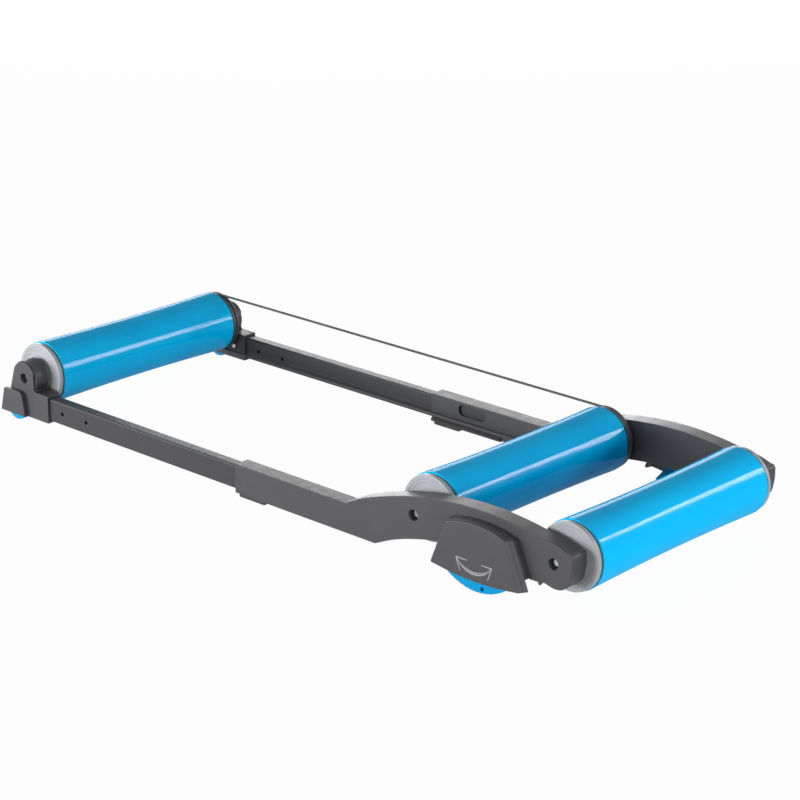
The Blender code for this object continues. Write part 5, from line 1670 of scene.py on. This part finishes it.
class ROLLERS_OT_fasteners(bpy.types.Operator):
    """Set the axle screws and bracket screws, and finish axles and pins"""
    bl_idname = "rollers.fasteners"
    bl_label = "Fasteners"

    def execute(self, context):
        settings = context.scene.rollers.fixings
        zinc = finish_of("bright_zinc_plate")
        tree = screw_tree(zinc)
        axle_screw = {"Head Radius": settings.head_radius, "Socket Width": settings.socket_width}
        seat = SIDE_OUTER - RECESS_DEPTH + CLEARANCE
        for body, labels in (("rear_frame", ("middle", "rear")), ("front_frame", ("front",))):
            places = [(AXLE_X[label], side * seat, AXLE_Z, side) for label in labels for _, side in SIDES]
            nodes = [label + "_" + side_label + "_axle_screw" for label in labels for side_label, _ in SIDES]
            piece("dressed_" + body + "_axle_screws", grown(screw_places(places), tree, axle_screw),
                  body, nodes, [zinc])
        head = SIDE_INNER - CLEARANCE
        places = [(FIXING_X, side * head, RAIL_Z, -side) for _, side in SIDES]
        piece("dressed_bracket_screws", grown(screw_places(places), tree, BRACKET_SCREW),
              "front_frame", [label + "_bracket_screw" for label, _ in SIDES], [zinc])
        pins = [label + "_" + pin for label, _ in SIDES for pin in ("rocker_pin", "wheel_pin", "lever_pin")]
        refinish([label + "_axle" for label in DRUMS] + pins, zinc)
        return {"FINISHED"}


# Belt

def belt_tree(material):
    """Round cord along the edges of a mesh loop."""
    tree = new_geometry_tree("drive_belt")
    tree_input(tree, "Cord Radius", "NodeSocketFloat", CORD_RADIUS, 0.0)
    given = add_node(tree, "NodeGroupInput")
    path = add_node(tree, "GeometryNodeMeshToCurve", None, {"Mesh": given.outputs["Geometry"]})
    section = add_node(tree, "GeometryNodeCurvePrimitiveCircle", None,
                       {"Resolution": 16, "Radius": given.outputs["Cord Radius"]})
    cord = add_node(tree, "GeometryNodeCurveToMesh", None,
                    {"Curve": path.outputs[0], "Profile Curve": section.outputs[0]})
    close_tree(tree, cord.outputs[0], material)
    return tree


def belt_path(front, rear, radius):
    """The belt's line: half round both pulleys, and straight between them."""
    runs = 40
    span = (rear - front) / runs
    points = arc(front, AXLE_Z, radius, 90, 270, 48)
    points += [(front + span * i, AXLE_Z - radius) for i in range(1, runs)]
    points += arc(rear, AXLE_Z, radius, -90, 90, 48)
    points += [(rear - span * i, AXLE_Z + radius) for i in range(1, runs)]
    return points


class ROLLERS_OT_belt(bpy.types.Operator):
    """Lay the drive belt over the front and middle drums"""
    bl_idname = "rollers.belt"
    bl_label = "Drive belt"

    def execute(self, context):
        level = middle_of("drive_belt").y
        low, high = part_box("drive_belt")
        front, rear = AXLE_X["front"], AXLE_X["middle"]
        points = belt_path(front, rear, (high.z - low.z) / 2 - CORD_RADIUS)
        count = len(points)
        base = bpy.data.meshes.new("belt_path")
        base.from_pydata([(u, level, v) for u, v in points], [(i, (i + 1) % count) for i in range(count)], [])
        rubber = finish_of("belt_rubber_cord")
        mesh = grown(base, belt_tree(rubber), {})
        belt = piece("dressed_drive_belt", mesh, None, ["drive_belt"], [rubber], 60.0)
        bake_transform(belt)
        return {"FINISHED"}


# Stage

def softbox(name, place, brightness, width, height):
    """A softbox turned to the rollers, whose face is so many times as bright as white."""
    light = bpy.data.lights.new(name, "AREA")
    light.shape = "RECTANGLE"
    light.size = width
    light.size_y = height
    light.energy = brightness * math.pi * width * height
    obj = new_piece(name, light)
    obj.location = place
    obj.rotation_euler = (Vector(LAMP_TARGET) - Vector(place)).to_track_quat("-Z", "Y").to_euler()


def background_rays(tree):
    """Rays that see the white backdrop: the camera's, and those that gloss and glass send on."""
    path = add_node(tree, "ShaderNodeLightPath")
    rays = path.outputs["Is Camera Ray"]
    for kind in ("Is Glossy Ray", "Is Transmission Ray"):
        both = add_node(tree, "ShaderNodeMath", {"operation": "MAXIMUM"}, {0: rays, 1: path.outputs[kind]})
        rays = both.outputs[0]
    return rays


def backdrop_material(colour):
    """Matt white studio paper: shows as white, and keeps the rollers' soft shadow."""
    material = bpy.data.materials.new("matt_white_paper")
    material.use_nodes = True
    tree = material.node_tree
    tree.nodes.clear()
    coordinates = add_node(tree, "ShaderNodeTexCoord")
    grain = mottled(tree, coordinates.outputs["Object"], 900, 0.0, 1.0)
    hue = blended(tree, grain, shaded(colour, 0.995), colour)
    paper = add_node(tree, "ShaderNodeBsdfDiffuse", None, {"Color": hue})
    white = add_node(tree, "ShaderNodeEmission", None, {"Color": WHITE, "Strength": 1.0})
    share = add_node(tree, "ShaderNodeMath", {"operation": "MULTIPLY"},
                     {0: background_rays(tree), 1: PAPER_WHITE})
    mix = add_node(tree, "ShaderNodeMixShader", None,
                   {0: share.outputs[0], 1: paper.outputs[0], 2: white.outputs[0]})
    add_node(tree, "ShaderNodeOutputMaterial", None, {"Surface": mix.outputs[0]})
    return material


def room_light(level):
    """Light from all round at a plain level, which background rays see as a white backdrop."""
    world = bpy.data.worlds.new("studio")
    bpy.context.scene.world = world
    world.use_nodes = True
    tree = world.node_tree
    tree.nodes.clear()
    soft = add_node(tree, "ShaderNodeBackground", None, {"Color": WHITE, "Strength": level})
    white = add_node(tree, "ShaderNodeBackground", None, {"Color": WHITE, "Strength": 1.0})
    mix = add_node(tree, "ShaderNodeMixShader", None,
                   {0: background_rays(tree), 1: soft.outputs[0], 2: white.outputs[0]})
    add_node(tree, "ShaderNodeOutputWorld", None, {"Surface": mix.outputs[0]})


def lay_floor(colour):
    """The wide floor."""
    mesh = bpy.data.meshes.new("floor")
    corners = [(-FLOOR_REACH, -FLOOR_REACH, 0.0), (FLOOR_REACH, -FLOOR_REACH, 0.0),
               (FLOOR_REACH, FLOOR_REACH, 0.0), (-FLOOR_REACH, FLOOR_REACH, 0.0)]
    mesh.from_pydata(corners, [], [(0, 1, 2, 3)])
    mesh.materials.append(backdrop_material(colour))
    floor = new_piece("floor", mesh)
    floor.location.z = FLOOR_Z


def set_camera():
    """The camera, on the rollers from their rear left, with the picture's own shift."""
    data = bpy.data.cameras.new("camera")
    data.lens = CAMERA_LENS
    data.sensor_width = CAMERA_SENSOR
    data.shift_x = (PICTURE_SIZE / 2 - PICTURE_CENTRE[0]) / PICTURE_SIZE
    data.shift_y = -(PICTURE_SIZE / 2 - PICTURE_CENTRE[1]) / PICTURE_SIZE
    data.clip_end = CAMERA_SIGHT
    camera = new_piece("camera", data)
    camera.location = CAMERA_PLACE
    camera.rotation_mode = "QUATERNION"
    ahead = Vector((-math.sin(CAMERA_TURN) * math.cos(CAMERA_RISE),
                    math.cos(CAMERA_TURN) * math.cos(CAMERA_RISE), -math.sin(CAMERA_RISE)))
    roll = Matrix.Rotation(CAMERA_ROLL, 4, "Z").to_quaternion()
    camera.rotation_quaternion = ahead.to_track_quat("-Z", "Y") @ roll
    bpy.context.scene.camera = camera


class ROLLERS_OT_stage(bpy.types.Operator):
    """Lay the pale floor, hang the soft lamps and set the camera"""
    bl_idname = "rollers.stage"
    bl_label = "Stage"

    def execute(self, context):
        settings = context.scene.rollers.stage
        lay_floor(tuple(settings.backdrop))
        room_light(settings.room)
        for name, place, width, height in SOFTBOXES:
            softbox(name + "_softbox", place, getattr(settings, name), width, height)
        set_camera()
        context.scene.view_settings.view_transform = "Standard"
        return {"FINISHED"}


class ROLLERS_PT_panel(bpy.types.Panel):
    """The steps that build the rollers"""
    bl_label = "Bike rollers"
    bl_idname = "ROLLERS_PT_panel"
    bl_space_type = "VIEW_3D"
    bl_region_type = "UI"
    bl_category = "Rollers"

    def draw(self, context):
        settings = context.scene.rollers
        for step in STEPS:
            self.layout.operator(step.bl_idname)
        for group in (settings.drums, settings.sides, settings.feet, settings.fixings, settings.stage):
            box = self.layout.box()
            for name in group.__annotations__:
                box.prop(group, name)


STEPS = (
    ROLLERS_OT_stage,
    ROLLERS_OT_drum_shells,
    ROLLERS_OT_drum_ends,
    ROLLERS_OT_rear_arms,
    ROLLERS_OT_rails,
    ROLLERS_OT_front_brackets,
    ROLLERS_OT_foot_covers,
    ROLLERS_OT_feet,
    ROLLERS_OT_levers,
    ROLLERS_OT_fasteners,
    ROLLERS_OT_belt,
)
GROUPS = (
    ROLLERS_PG_drums,
    ROLLERS_PG_sides,
    ROLLERS_PG_feet,
    ROLLERS_PG_fixings,
    ROLLERS_PG_stage,
    ROLLERS_PG_settings,
)


def register():
    """Make the settings, steps and panel known to Blender."""
    for made in GROUPS + STEPS:
        bpy.utils.register_class(made)
    bpy.utils.register_class(ROLLERS_PT_panel)
    bpy.types.Scene.rollers = PointerProperty(type=ROLLERS_PG_settings)


def unregister():
    """Take them out again."""
    del bpy.types.Scene.rollers
    bpy.utils.unregister_class(ROLLERS_PT_panel)
    for made in reversed(GROUPS + STEPS):
        bpy.utils.unregister_class(made)


def clear_new_file():
    """Remove what a new file holds, and keep the frame."""
    kept = list(FRAME["nodes"].values()) + list(FRAME["bodies"].values())
    for obj in list(bpy.context.scene.objects):
        if obj not in kept:
            bpy.data.objects.remove(obj)


def main():
    """Build the rollers."""
    clear_new_file()
    register()
    for step in STEPS:
        group, name = step.bl_idname.split(".")
        getattr(getattr(bpy.ops, group), name)()


if __name__ == "__main__":
    main()
